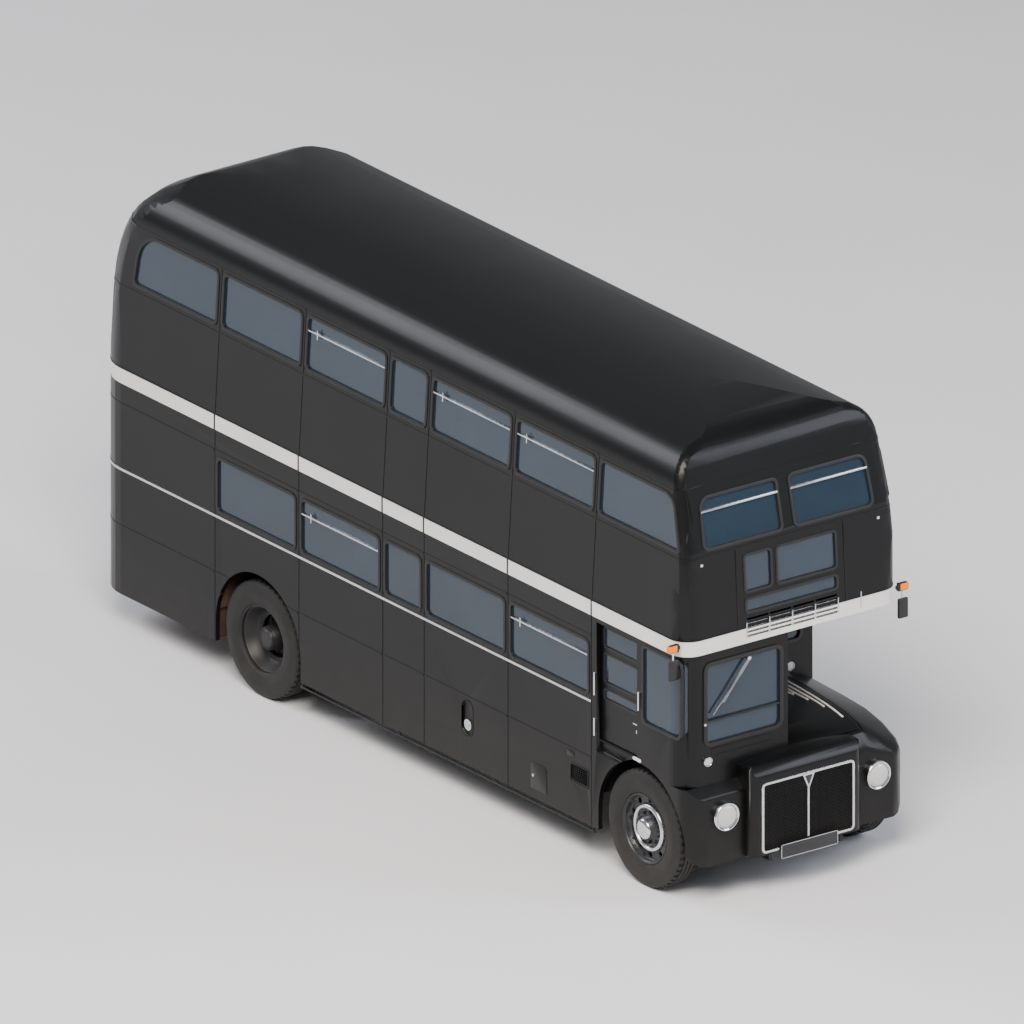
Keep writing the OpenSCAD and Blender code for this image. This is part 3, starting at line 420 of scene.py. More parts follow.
# Hardwood slats with oiled grime
SLATS = Slatted(
    "oiled_hardwood_slats", "4a3a2c", "3c2f25", rough=0.6, grain_mm=20, relief_mm=3.0, blotch_mm=300
)
# Blind cloth behind the front glasses: varnished linen, nearly black
BLIND_CLOTH = Finish("varnished_blind_linen", "15191f", "12151a", rough=0.6, grain_mm=5, relief_mm=0.3)
# Studio floor: smooth pale screed
SCREED = Finish(
    "pale_floor_screed", "eeeef0", "ebebed", rough=0.85, grain_mm=50, relief_mm=0.2, blotch_mm=2500
)


# ---- Shaping ----


def axis_matrix(start: Point, end: Point) -> Matrix:
    """A matrix that puts local z from the middle of two points along their line.

    Args:
        start: One end.
        end: The other end.

    Returns:
        The placing matrix.
    """
    a, b = Vector(start), Vector(end)
    return Matrix.Translation((a + b) / 2) @ (b - a).to_track_quat("Z", "Y").to_matrix().to_4x4()


def outward(face: BMFace) -> float:
    """How far a face of the coachwork looks outwards: 1 outside, -1 inside, 0 on a window reveal."""
    middle = face.calc_center_median()
    low, high = Vector((-0.95, -3.9, 1.0)), Vector((0.95, 4.05, 3.85))
    nearest = Vector([min(max(c, lo), hi) for c, lo, hi in zip(middle, low, high)])
    away = middle - nearest
    return face.normal.dot(away.normalized()) if away.length > 1e-6 else 0.0


@dataclass
class Flat:
    """A flat patch of coachwork: local x along it, y up it and z out of it."""

    origin: Point
    along: Point
    up: Point

    def matrix(self) -> Matrix:
        """The patch's placing matrix, with z outwards."""
        along, up = Vector(self.along), Vector(self.up).normalized()
        out = along.cross(up)
        placed = Matrix((along, up, out)).transposed().to_4x4()
        placed.translation = Vector(self.origin)
        return placed


def side_flat(side: Side, upper: bool) -> Flat:
    """The outer face of a side wall; local x runs forwards on the nearside and rearwards on the offside.

    Args:
        side: Which side.
        upper: The leaning upper deck, or else the upright lower one.

    Returns:
        The flat patch, whose local y is the height above its foot.
    """
    sign = side.value
    lean = TUMBLE if upper else 0.0
    foot = TUMBLE_Z if upper else 0.0
    return Flat(
        (sign * HALF_WIDTH, 0.0, foot), (0.0, float(sign), 0.0), (-sign * math.sin(lean), 0.0, math.cos(lean))
    )


def front_flat(height: float) -> Flat:
    """The outer face of the front at a height: upright cab, slightly leaning middle or leaning screens."""
    if height > SCREEN_Z:
        foot, set_back, lean = SCREEN_Z, SILL_SET, SCREEN_LEAN
    elif height > TUMBLE_Z:
        foot, set_back, lean = TUMBLE_Z, 0.0, SILL_LEAN
    else:
        foot, set_back, lean = 0.0, 0.0, 0.0
    return Flat((0.0, FRONT + set_back, foot), (1.0, 0.0, 0.0), (0.0, math.sin(lean), math.cos(lean)))


def grown(outline: Outline, by: float) -> Outline:
    """Move each side of a convex outline outwards.

    Args:
        outline: Corners, anticlockwise.
        by: How far.

    Returns:
        The corners of the larger outline.
    """
    corners = [Vector(p) for p in outline]
    result = []
    for i, corner in enumerate(corners):
        before = (corner - corners[i - 1]).normalized()
        after = (corners[(i + 1) % len(corners)] - corner).normalized()
        out_before, out_after = Vector((before.y, -before.x)), Vector((after.y, -after.x))
        both = (out_before + out_after).normalized()
        moved = corner + both * (by / both.dot(out_before))
        result.append((moved.x, moved.y))
    return result


def span(sign: int, near: float, far: float) -> list[float]:
    """The x of both ends of something on one side, the lower one first.

    Args:
        sign: The side.
        near: Its inner end's distance from the middle.
        far: Its outer end's distance.

    Returns:
        The two places.
    """
    return sorted((sign * near, sign * far))


def rectangle(x0: float, y0: float, x1: float, y1: float) -> Outline:
    """The corners of an upright rectangle, anticlockwise."""
    return [(x0, y0), (x1, y0), (x1, y1), (x0, y1)]


@dataclass
class Stock:
    """A piece being shaped, with the finishes of its faces."""

    name: str
    bm: bmesh.types.BMesh = field(default_factory=bmesh.new)
    finishes: list[Finish] = field(default_factory=list)

    @classmethod
    def of_node(cls, name: str, node: str) -> "Stock":
        """Start from a merged copy of a node's mesh.

        Args:
            name: The new piece's name.
            node: The node's name.

        Returns:
            The stock.
        """
        made = cls(name)
        made.bm.from_mesh(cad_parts[node].data)
        bmesh.ops.remove_doubles(made.bm, verts=made.bm.verts[:], dist=1e-5)
        return made

    def index(self, finish: Finish) -> int:
        """The material index of a finish on this piece."""
        if finish not in self.finishes:
            self.finishes.append(finish)
        return self.finishes.index(finish)

    def paint(self, faces: Sequence[BMFace], finish: Finish) -> None:
        """Give faces a finish."""
        number = self.index(finish)
        for face in faces:
            face.material_index = number

    def join(self, part: bmesh.types.BMesh, finish: Finish, place: Optional[Matrix] = None) -> None:
        """Take in a part that was shaped on its own, and free it.

        Args:
            part: The part.
            finish: Its finish.
            place: Where it goes, or None to leave it.
        """
        number = self.index(finish)
        for face in part.faces:
            face.material_index = number
        if place is not None:
            bmesh.ops.transform(part, matrix=place, verts=part.verts[:])
        bmesh.ops.recalc_face_normals(part, faces=part.faces[:])
        mesh = bpy.data.meshes.new("part")
        part.to_mesh(mesh)
        part.free()
        self.bm.from_mesh(mesh)
        bpy.data.meshes.remove(mesh)

    @staticmethod
    def round_edges(
        part: bmesh.types.BMesh, edges: Sequence[bmesh.types.BMEdge], edge: float, steps: int = 2
    ) -> None:
        """Round edges of a part, if the radius isn't nothing.

        Args:
            part: The part.
            edges: Its edges to round.
            edge: The radius.
            steps: Faces across a rounded edge.
        """
        if edge:
            bmesh.ops.bevel(
                part, geom=edges, offset=edge, segments=steps, profile=0.5, affect="EDGES", material=-1,
            )

    def bar(
        self, low: Point, high: Point, finish: Finish, edge: float = 0.0, steps: int = 2,
        place: Optional[Matrix] = None,
    ) -> None:
        """Add a bar with rounded edges.

        Args:
            low: Lowest corner.
            high: Highest corner.
            finish: Its finish.
            edge: Radius of its edges.
            steps: Faces across a rounded edge.
            place: Where it goes.
        """
        a, b = Vector(low), Vector(high)
        part = bmesh.new()
        bmesh.ops.create_cube(
            part, size=1.0, matrix=Matrix.Translation((a + b) / 2) @ Matrix.Diagonal((*(b - a), 1.0))
        )
        self.round_edges(part, part.edges[:], edge, steps)
        self.join(part, finish, place)

    def rod(
        self, start: Point, end: Point, radius: float, finish: Finish, sides: int = 20,
        end_radius: Optional[float] = None, edge: float = 0.0, place: Optional[Matrix] = None,
    ) -> None:
        """Add a round rod or cone between two points.

        Args:
            start: One end.
            end: The other end.
            radius: Radius at the start.
            finish: Its finish.
            sides: Faces around it.
            end_radius: Radius at the end, if another.
            edge: Radius of its end edges.
            place: Where it goes.
        """
        part = bmesh.new()
        bmesh.ops.create_cone(
            part, cap_ends=True, segments=sides, radius1=radius,
            radius2=radius if end_radius is None else end_radius,
            depth=(Vector(end) - Vector(start)).length, matrix=axis_matrix(start, end),
        )
        self.round_edges(part, [e for e in part.edges if any(len(f.verts) > 4 for f in e.link_faces)], edge)
        self.join(part, finish, place)

    def turned(
        self, profile: Sequence[tuple[float, float]], centre: Point, axis: Point, finish: Finish,
        steps: int = 64, closed: bool = True,
    ) -> None:
        """Spin a profile about an axis.

        Args:
            profile: Distance along the axis and radius of each point.
            centre: A point on the axis.
            axis: The axis.
            finish: Its finish.
            steps: Faces around it.
            closed: Whether the last point joins the first.
        """
        self.join(self.spun(profile, centre, axis, steps, closed), finish)

    @staticmethod
    def spun(
        profile: Sequence[tuple[float, float]], centre: Point, axis: Point, steps: int, closed: bool
    ) -> bmesh.types.BMesh:
        """A spun part on its own; the arguments are those of turned.

        Returns:
            The part.
        """
        part = bmesh.new()
        line = Vector(axis).normalized()
        away = line.orthogonal().normalized()
        middle = Vector(centre)
        points = [part.verts.new(middle + line * a + away * r) for a, r in profile]
        pairs = list(zip(points, points[1:])) + ([(points[-1], points[0])] if closed else [])
        edges = [part.edges.new(pair) for pair in pairs]
        bmesh.ops.spin(
            part, geom=points + edges, cent=middle, axis=line, angle=math.tau, steps=steps, use_merge=True,
        )
        bmesh.ops.remove_doubles(part, verts=part.verts[:], dist=1e-6)
        return part

    @staticmethod
    def outline_face(
        outline: Outline, radii: Sequence[float], height: float, steps: int = 6
    ) -> bmesh.types.BMesh:
        """A part that is one flat face with rounded corners.

        Args:
            outline: Its corners, anticlockwise.
            radii: Radius of each corner.
            height: Its place out of the local plane.
            steps: Edges around a corner.

        Returns:
            The part.
        """
        part = bmesh.new()
        corners = [part.verts.new((x, y, height)) for x, y in outline]
        part.faces.new(corners)
        for corner, radius in zip(corners, radii):
            if radius > 1e-5:
                bmesh.ops.bevel(
                    part, geom=[corner], offset=radius, segments=steps, profile=0.5, affect="VERTICES",
                    material=-1,
                )
        return part

    def raise_part(
        self, part: bmesh.types.BMesh, faces: Sequence[BMFace], by: float, finish: Finish,
        place: Optional[Matrix],
        edge: float,
    ) -> None:
        """Raise flat faces into a solid with rounded front edges, and take it in.

        Args:
            part: The part that holds the faces.
            faces: The flat faces.
            by: How far they rise.
            finish: The finish.
            place: Where it goes.
            edge: Rounding of the front edges.
        """
        raised = bmesh.ops.extrude_face_region(part, geom=faces, use_keep_orig=True)["geom"]
        tops = {g for g in raised if isinstance(g, BMVert)}
        bmesh.ops.translate(part, vec=(0, 0, by), verts=list(tops))
        rims = [
            e for e in part.edges
            if tops.issuperset(e.verts) and any(not tops.issuperset(f.verts) for f in e.link_faces)
        ]
        self.round_edges(part, rims, edge)
        self.join(part, finish, place)

    def plate(
        self, outline: Outline, radii: Sequence[float], low: float, high: float, finish: Finish,
        place: Optional[Matrix] = None, edge: float = 0.0,
    ) -> None:
        """Add a flat plate with rounded corners.

        Args:
            outline: Its corners, anticlockwise.
            radii: Radius of each corner.
            low: Its back, out of the local plane.
            high: Its front.
            finish: Its finish.
            place: Where it goes.
            edge: Rounding of its front edge.
        """
        part = self.outline_face(outline, radii, low)
        self.raise_part(part, part.faces[:], high - low, finish, place, edge)

    def ring(
        self, outline: Outline, radii: Sequence[float], outside: float, inside: float, low: float,
        high: float,
        finish: Finish, place: Optional[Matrix] = None, edge: float = 0.003,
    ) -> None:
        """Add a moulded ring around an opening.

        Args:
            outline: The opening's corners, anticlockwise.
            radii: Radius of each corner of the opening.
            outside: How far the ring laps over the wall.
            inside: How far it laps over the pane.
            low: Its back, out of the local plane.
            high: Its front.
            finish: Its finish.
            place: Where it goes.
            edge: Rounding of its front edges.
        """
        part = self.outline_face(grown(outline, outside), [r + outside for r in radii], low)
        middle = part.faces[:]
        rim = bmesh.ops.inset_region(
            part, faces=middle, thickness=outside + inside, use_even_offset=True, use_boundary=True,
        )["faces"]
        bmesh.ops.delete(part, geom=middle, context="FACES_ONLY")
        self.raise_part(part, rim, high - low, finish, place, edge)

    def cut(self, co: Point, no: Point, drop: bool = False) -> None:
        """Cut every face along a plane.

        Args:
            co: A point on the plane.
            no: Its normal.
            drop: Whether the side that the normal points to is removed.
        """
        geom = self.bm.verts[:] + self.bm.edges[:] + self.bm.faces[:]
        bmesh.ops.bisect_plane(self.bm, geom=geom, plane_co=co, plane_no=no, clear_outer=drop, dist=1e-6)

    def done(
        self, body: str, slot: str, replaces: Sequence[str] = (), sharp: float = 35.0, even: bool = False,
    ) -> bpy.types.Object:
        """Turn the stock into a finished piece of the model.

        Args:
            body: The body that it rides on.
            slot: The name of a material slot; not used.
            replaces: Nodes that it stands for.
            sharp: Edges over this angle, in degrees, stay sharp.
            even: Whether large faces hold their shading against small ones.

        Returns:
            The piece.
        """
        mesh = bpy.data.meshes.new(self.name)
        self.bm.to_mesh(mesh)
        self.bm.free()
        for finish in self.finishes:
            mesh.materials.append(finish.build())
        mesh.shade_smooth()
        mesh.set_sharp_from_angle(angle=math.radians(sharp))
        piece = bpy.data.objects.new(self.name, mesh)
        bpy.context.scene.collection.objects.link(piece)
        if even:
            shading = piece.modifiers.new("even_shading", "WEIGHTED_NORMAL")
            shading.keep_sharp = True
        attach(piece, body)
        if replaces:
            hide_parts(*replaces)
        LOG.info("%s: %d faces", self.name, len(mesh.polygons))
        return piece


def dress(node: str, finish: Finish) -> None:
    """Give a node that stays in view its finish."""
    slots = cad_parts[node].material_slots
    for entry in slots:
        entry.material = finish.build()
    LOG.info("%s: %s", node, finish.name)


def smooth_copy(node: str, body: str, slot: str, finish: Finish, sharp: float = 35.0) -> bpy.types.Object:
    """Stand a merged, smoothly shaded copy in for a node.

    Args:
        node: The node.
        body: Its body.
        slot: The name of a material slot; not used.
        finish: Its finish.
        sharp: Edges over this angle stay sharp.

    Returns:
        The piece.
    """
    stock = Stock.of_node(node + "_finished", node)
    stock.paint(stock.bm.faces[:], finish)
    return stock.done(body, slot, [node], sharp, even=True)


# ---- Coachwork ----

BODY = "bus_body"
PAINTED = (
    "offside_lower_side", "nearside_lower_side", "offside_upper_side", "nearside_upper_side",
    "upper_front_panel",
    "upper_rear_panel", "lower_rear_panel", "roof", "front_bulkhead", "cab_shell",
)


@dataclass
class Coachwork:
    """The painted panels, their waistband, bright strip and raised seam beads."""

    band: tuple[float, float] = BAND
    bead_width: float = 0.018
    bead_height: float = 0.003
    ledge_width: float = 0.012
    ledge_height: float = 0.004
    strip_width: float = 0.022
    strip_height: float = 0.006
    panels: tuple[str, ...] = PAINTED
    # Cuts close to each crease, so that the shading of a flat panel stays flat
    supports: tuple[tuple[float, ...], ...] = (
        (-1.010, 1.010, -0.770, 0.770), (-4.100, 4.110), (2.515, 2.537, 3.338, 3.358, 3.244, 3.905),
    )

    def finish_of(self, face: BMFace) -> Finish:
        """The finish of one face: paint outside, lining inside and cream on the band."""
        facing = outward(face)
        height = face.calc_center_median().z
        if facing < -0.25:
            return LOWER_LINING if height < 1.45 else LINING
        if facing > 0.3 and self.band[0] < height < self.band[1]:
            return CREAM_ENAMEL
        return BLACK_ENAMEL

    def panel(self, node: str, body: str = BODY) -> None:
        """Paint one panel on a merged copy of its node.

        Args:
            node: The panel's node.
            body: Its body.
        """
        stock = Stock.of_node(node + "_painted", node)
        for axis, places in enumerate(self.supports):
            for place in places + (self.band if axis == 2 else ()):
                normal = Vector([1.0 if i == axis else 0.0 for i in range(3)])
                stock.cut(normal * place, normal)
        for face in stock.bm.faces:
            stock.paint([face], self.finish_of(face))
        stock.done(body, "body_paint", [node], even=True)

    def band_slice(
        self, name: str, nodes: Sequence[str], axis: int, at: float, width: float, proud: float,
        finish: Finish,
        keep: Optional[Callable[[BMFace], bool]] = None, slot: str = "body_paint",
    ) -> None:
        """Raise a narrow bead or strip that follows the panels.

        Args:
            name: The piece's name.
            nodes: The panels that it crosses.
            axis: The axis across the bead: 0, 1 or 2.
            at: Its middle on that axis.
            width: Its width.
            proud: Its thickness.
            finish: Its finish.
            keep: Which faces carry it; the outward ones if None.
            slot: The name of a material slot; not used.
        """
        whole = Stock(name)
        normal = Vector([1.0 if i == axis else 0.0 for i in range(3)])
        for node in nodes:
            part = Stock.of_node(node, node)
            part.cut(normal * (at + width / 2), normal, drop=True)
            part.cut(normal * (at - width / 2), -normal, drop=True)
            spare = [f for f in part.bm.faces if outward(f) < 0.3 or (keep is not None and not keep(f))]
            bmesh.ops.delete(part.bm, geom=spare, context="FACES")
            if part.bm.faces:
                bmesh.ops.solidify(part.bm, geom=part.bm.faces[:], thickness=-proud)
                for vert in part.bm.verts:
                    vert.co.z = min(vert.co.z, CAD_BOX[1][2])
                mesh = bpy.data.meshes.new(node)
                part.bm.to_mesh(mesh)
                whole.bm.from_mesh(mesh)
                bpy.data.meshes.remove(mesh)
            part.bm.free()
        whole.paint(whole.bm.faces[:], finish)
        whole.done(BODY, slot)

    def beads(self) -> None:
        """Raise the seam beads, along and across."""
        uppers = ("offside_upper_side", "nearside_upper_side", "upper_front_panel", "upper_rear_panel")
        lowers = ("offside_lower_side", "nearside_lower_side", "lower_rear_panel")
        bead, ledge = (self.bead_width, self.bead_height), (self.ledge_width, self.ledge_height)
        for name, nodes, height, (width, proud) in (
            ("window_sill_bead", uppers, 3.296, bead), ("roof_edge_bead", uppers, 3.912, bead),
            ("band_top_bead", uppers, 2.531, ledge), ("lower_top_bead", lowers, 2.185, bead),
            ("skirt_bead", lowers, 1.010, bead),
        ):
            self.band_slice(name, nodes, 2, height, width, proud, BLACK_ENAMEL)
        self.band_slice(
            "bright_strip", lowers + ("front_bulkhead",), 2, 1.555, self.strip_width, self.strip_height,
            BRIGHT_ALUMINIUM, slot="bright_trim",
            keep=lambda f: f.calc_center_median().y > BULKHEAD_FACE + 0.05 or f.calc_center_median().x > 0.9,
        )
        for number, y in enumerate(PILLARS):
            for name, nodes in (("pillar_bead", uppers[:2]), ("lower_pillar_bead", lowers[:2])):
                self.band_slice(f"{name}_{number}", nodes, 1, y, *bead, BLACK_ENAMEL)

    def build(self) -> None:
        """Make the coachwork."""
        for node in self.panels:
            self.panel(node)
        self.panel("emergency_window", "emergency_window")
        self.beads()


@dataclass
class Windows:
    """Gaskets, opening bars and catches around every pane."""

    lap: float = 0.016
    bar_at: float = 0.73
    upper_openers: tuple[int, ...] = (1, 3, 4)
    lower_openers: tuple[int, ...] = (1, 4)
    corner: float = 0.060

    def gasket(self, stock: Stock, outline: Outline, radii: Sequence[float], place: Matrix) -> None:
        """Add one rubber gasket to a set.

        Args:
            stock: The set.
            outline: The pane's corners.
            radii: Their radii.
            place: The wall's matrix.
        """
        stock.ring(outline, radii, self.lap, self.lap, -0.022, 0.007, GASKET, place)

    def opener(self, stock: Stock, x0: float, x1: float, at: float, place: Matrix, rear_high: bool) -> None:
        """Add a bar with its catch across an opening pane.

        Args:
            stock: The set of bright parts.
            x0: One end of the pane.
            x1: The other end.
            at: The bar's height in the wall's plane.
            place: The wall's matrix.
            rear_high: Whether the rear end has the higher local x.
        """
        stock.bar((x0, at - 0.008, -0.014), (x1, at + 0.008, 0.006), BRIGHT_ALUMINIUM, 0.003, place=place)
        rear = x1 - 0.14 * (x1 - x0) if rear_high else x0 + 0.14 * (x1 - x0)
        stock.bar(
            (rear - 0.007, at - 0.045, 0.004), (rear + 0.007, at + 0.045, 0.014), CHROME, 0.003, place=place
        )
        stock.bar(
            (rear - 0.040, at + 0.006, 0.006), (rear + 0.040, at + 0.020, 0.018), CHROME, 0.004, place=place
        )

    def side(self, side: Side) -> None:
        """Frame the panes of one side.

        Args:
            side: Which side.
        """
        rubber, bright = Stock(f"{side.label}_window_gaskets"), Stock(f"{side.label}_opening_bars")
        sign = side.value
        rears = [y - PILLAR_HALF for y in PILLARS]
        for upper in (True, False):
            place = side_flat(side, upper).matrix()
            foot, lean = (TUMBLE_Z, TUMBLE) if upper else (0.0, 0.0)
            low, high = ((UPPER_SILL, UPPER_TOP) if upper else (LOWER_SILL, LOWER_TOP))
            low, high = (low - foot) / math.cos(lean), (high - foot) / math.cos(lean)
            openers = self.upper_openers if upper else self.lower_openers
            for number in range(5):
                ends = sorted((sign * (PILLARS[number + 1] + PILLAR_HALF), sign * rears[number]))
                self.gasket(rubber, rectangle(ends[0], low, ends[1], high), [self.corner] * 4, place)
                if number in openers:
                    self.opener(bright, ends[0], ends[1], low + self.bar_at * (high - low), place, sign > 0)
            if upper:
                rear = [(2.750, low), (3.990, low), (3.920, high), (2.750, high)]
                nose = [(-4.180, low), (-2.974, low), (-2.974, high), (-4.055, high)]
                for shape, radii in ((rear, (0.06, 0.06, 0.26, 0.06)), (nose, (0.04, 0.06, 0.06, 0.12))):
                    turned = [(sign * y, z) for y, z in shape]
                    if sign < 0:
                        turned, radii = turned[::-1], radii[::-1]
                    self.gasket(rubber, turned, radii, place)
        rubber.done(BODY, "dark_plastic")
        bright.done(BODY, "bright_trim")

    def front(self) -> None:
        """Frame the two upper front panes, the windscreen and the bulkhead panes."""
        rubber, bright = Stock("front_window_gaskets"), Stock("front_opening_bars")
        place = front_flat(SCREEN_Z + 0.1).matrix()
        low, high = 0.0, 0.465 / math.cos(SCREEN_LEAN)
        for sign in (-1, 1):
            shape = [(sign * 0.070, low), (sign * 0.945, low), (sign * 0.917, high), (sign * 0.070, high)]
            radii = (0.05, 0.07, 0.09, 0.05)
            if sign < 0:
                shape, radii = shape[::-1], radii[::-1]
            self.gasket(rubber, shape, radii, place)
            ends = span(sign, 0.072, 0.925)
            at = low + 0.74 * (high - low)
            bright.bar(
                (ends[0], at - 0.009, -0.014), (ends[1], at + 0.009, 0.008), BRIGHT_ALUMINIUM, 0.003,
                place=place
            )
        upright = front_flat(1.0).matrix()
        screen = rectangle(-0.970, 1.505, -0.135, 2.270)
        rubber.ring(screen, [self.corner] * 4, 0.026, 0.014, -0.022, 0.014, GASKET, upright, 0.005)
        rubber.bar((-0.972, 1.716, -0.018), (-0.133, 1.738, 0.008), GASKET, 0.004, place=upright)
        bulkhead = Flat((0, BULKHEAD_FACE, 0), (1, 0, 0), (0, 0, 1)).matrix()
        self.gasket(
            rubber, rectangle(0.260, LOWER_SILL + 0.020, 1.090, LOWER_TOP), [self.corner] * 4, bulkhead
        )
        rubber.done(BODY, "dark_plastic")
        bright.done(BODY, "bright_trim")

    def build(self) -> None:
        """Make the gaskets and bars, and glaze the panes."""
        for side in Side:
            self.side(side)
        self.front()
        dress("window_glass", WINDOW_GLASS)


@dataclass
class Destination:
    """The blind boxes above the cab, with blank cloth, and the vent louvres under them."""

    openings: tuple[tuple[float, float, float, float], ...] = (
        (-0.510, 2.860, -0.210, 3.210), (-0.150, 2.860, 0.510, 3.210), (-0.510, 2.665, 0.510, 2.795),
    )
    corner: float = 0.035
    depth: float = 0.150

    def build(self) -> None:
        """Make the gaskets, the cloth on its rollers and the louvres."""
        flat = front_flat(3.0)
        place = flat.matrix()
        rubber, cloth = Stock("blind_window_gaskets"), Stock("blank_blinds")
        for x0, z0, x1, z1 in self.openings:
            low, high = ((z - TUMBLE_Z) / math.cos(SILL_LEAN) for z in (z0, z1))
            rubber.ring(
                rectangle(x0, low, x1, high), [self.corner] * 4, 0.014, 0.012, -0.022, 0.006, GASKET, place
            )
            cloth.bar(
                (x0 - 0.03, low - 0.02, -0.052), (x1 + 0.03, high + 0.02, -0.048), BLIND_CLOTH, place=place
            )
            for height in (low - 0.03, high + 0.03):
                cloth.rod(
                    (x0 - 0.04, height, -0.075), (x1 + 0.04, height, -0.075), 0.022, BLIND_CLOTH, place=place
                )
        seam = Stock("destination_panel_beads")
        for x in (-0.600, 0.600):
            seam.bar((x - 0.007, 0.010, -0.001), (x + 0.007, 0.760, 0.003), BLACK_ENAMEL, 0.001, place=place)
        seam.done(BODY, "body_paint")
        louvres = Stock("vent_louvres")
        louvres.bar((-0.560, FRONT + 0.052, 2.425), (0.560, FRONT + 0.062, 2.590), BLIND_CLOTH)
        for number in range(6):
            x = -0.510 + number * 0.255 - 0.010
            louvres.bar(
                (x + 0.004, FRONT - 0.004, 2.428), (x + 0.016, FRONT + 0.008, 2.582), BRIGHT_ALUMINIUM, 0.002
            )
        for row in range(4):
            z = 2.436 + row * 0.040
            louvres.bar(
                (-0.505, FRONT + 0.010, z + 0.004), (0.505, FRONT + 0.030, z + 0.007), BRIGHT_ALUMINIUM
            )
        louvres.done(BODY, "bright_trim")
        rubber.done(BODY, "dark_plastic")
        cloth.done(BODY, "dark_plastic")


@dataclass
class CabFittings:
    """Wiper, handles, hatch, side window gasket and the small things on the driver's cab."""

    door_panes: tuple[tuple[float, float], ...] = ((2.110, 2.300), (1.770, 2.050), (1.610, 1.710))
    dial_places: tuple[float, ...] = (-0.860, -0.660, -0.460)

    def build(self) -> None:
        """Make the fittings and finish the door."""
        place = front_flat(1.0).matrix()
        wiper = Stock("windscreen_wiper")
        pivot, tip = (-0.500, 2.245), (-0.900, 1.785)
        wiper.rod((*pivot, -0.004), (*pivot, 0.032), 0.020, CHROME, edge=0.004, place=place)
        for offset in (-0.010, 0.012):
            foot, end = (pivot[0] + offset, pivot[1], 0.026), (tip[0] + 0.10 + offset, tip[1] + 0.10, 0.030)
            wiper.rod(foot, end, 0.006, CHROME, 8, place=place)
        along = (Vector(tip) - Vector(pivot)).normalized()
        start = Vector(pivot) + along * 0.22
        wiper.rod((start.x, start.y, 0.022), (tip[0], tip[1], 0.022), 0.009, CHROME, 8, place=place)
        wiper.rod((start.x, start.y, 0.014), (tip[0], tip[1], 0.014), 0.006, GASKET, 6, place=place)
        wiper.done(BODY, "bright_trim")

        side = side_flat(Side.OFFSIDE, False).matrix()
        rubber = Stock("cab_side_gaskets")
        rubber.ring(
            rectangle(3.710, 1.600, 4.270, 2.335), (0.05, 0.07, 0.07, 0.05), 0.018, 0.012, -0.022, 0.007,
            GASKET, side,
        )
        rubber.done(BODY, "dark_plastic")

        handles = Stock("cab_grab_handles")
        for y, low, high in ((3.000, 1.640, 1.860), (3.000, 1.250, 1.420), (3.660, 1.700, 1.880)):
            handles.rod((y, low, 0.016), (y, high, 0.016), 0.009, CHROME, 12, place=side)
            for z in (low + 0.012, high - 0.012):
                handles.rod((y, z, -0.002), (y, z, 0.018), 0.008, CHROME, 10, place=side)
        handles.done(BODY, "bright_trim")

        hatch = Stock("side_hatches")
        hatch.plate(
            rectangle(2.030, 0.440, 2.270, 0.700), (0.01, 0.01, 0.05, 0.05), -0.002, 0.003, BLACK_ENAMEL,
            side, 0.001
        )
        hatch.plate(
            rectangle(2.575, 0.930, 2.680, 0.985), (0.006,) * 4, -0.002, 0.003, BLACK_ENAMEL, side, 0.001
        )
        hatch.rod((2.070, 0.570, 0.000), (2.070, 0.570, 0.009), 0.014, CHROME, 16, edge=0.002, place=side)
        hatch.plate(
            rectangle(3.560, 1.196, 3.680, 1.226), (0.012,) * 4, -0.002, 0.005, CREAM_ENAMEL, side, 0.001
        )
        hatch.done(BODY, "body_paint")

        filler = Stock("fuel_filler")
        filler.ring(
            rectangle(0.994, 0.630, 1.154, 0.970), (0.075,) * 4, 0.012, 0.000, -0.020, 0.004, BLACK_ENAMEL,
            side
        )
        filler.rod((1.074, 0.735, -0.024), (1.074, 0.735, -0.004), 0.055, CHROME, 32, edge=0.006, place=side)
        filler.rod(
            (1.074, 0.735, -0.006), (1.074, 0.735, 0.001), 0.026, BRIGHT_ALUMINIUM, 24, edge=0.003, place=side
        )
        filler.done(BODY, "bright_trim")

        louvre = Stock("side_louvre")
        louvre.ring(
            rectangle(2.630, 0.695, 2.886, 0.865), (0.012,) * 4, 0.012, 0.002, -0.002, 0.005, BLACK_ENAMEL,
            side
        )
        for number in range(7):
            z = 0.712 + number * 0.021
            louvre.bar((2.636, z, -0.022), (2.880, z + 0.006, -0.004), BLACK_ENAMEL, 0.001, place=side)
        louvre.done(BODY, "body_paint")
        front = Stock("cab_front_hatch")
        front.ring(
            rectangle(-0.900, 1.395, -0.240, 1.455), (0.012,) * 4, 0.006, 0.001, -0.001, 0.003, BLACK_ENAMEL,
            place
        )
        front.rod((-0.985, 1.710, 0.000), (-0.985, 1.710, 0.020), 0.014, CHROME, 16, edge=0.003, place=place)
        front.done(BODY, "body_paint")
        self.door()
        self.inside()

    def door(self) -> None:
        """Finish the sliding cab door, its panes and its lock."""
        smooth_copy("cab_door", "cab_door", "body_paint", BLACK_ENAMEL)
        dress("door_glass", WINDOW_GLASS)
        place = Flat((-1.168, 0, 0), (0, -1, 0), (0, 0, 1)).matrix()
        rubber = Stock("cab_door_gaskets")
        for low, high in self.door_panes:
            rubber.ring(
                rectangle(3.057, low, 3.572, high), (0.03,) * 4, 0.012, 0.010, -0.016, 0.004, GASKET, place
            )
        rubber.done("cab_door", "dark_plastic")
        lock = Stock("cab_door_handle")
        lock.rod((3.560, 1.440, 0.0), (3.560, 1.440, 0.004), 0.022, CHROME, 20, edge=0.002, place=place)
        lock.bar((3.490, 1.500, -0.002), (3.575, 1.512, 0.003), CHROME, 0.002, place=place)
        lock.done("cab_door", "bright_trim")

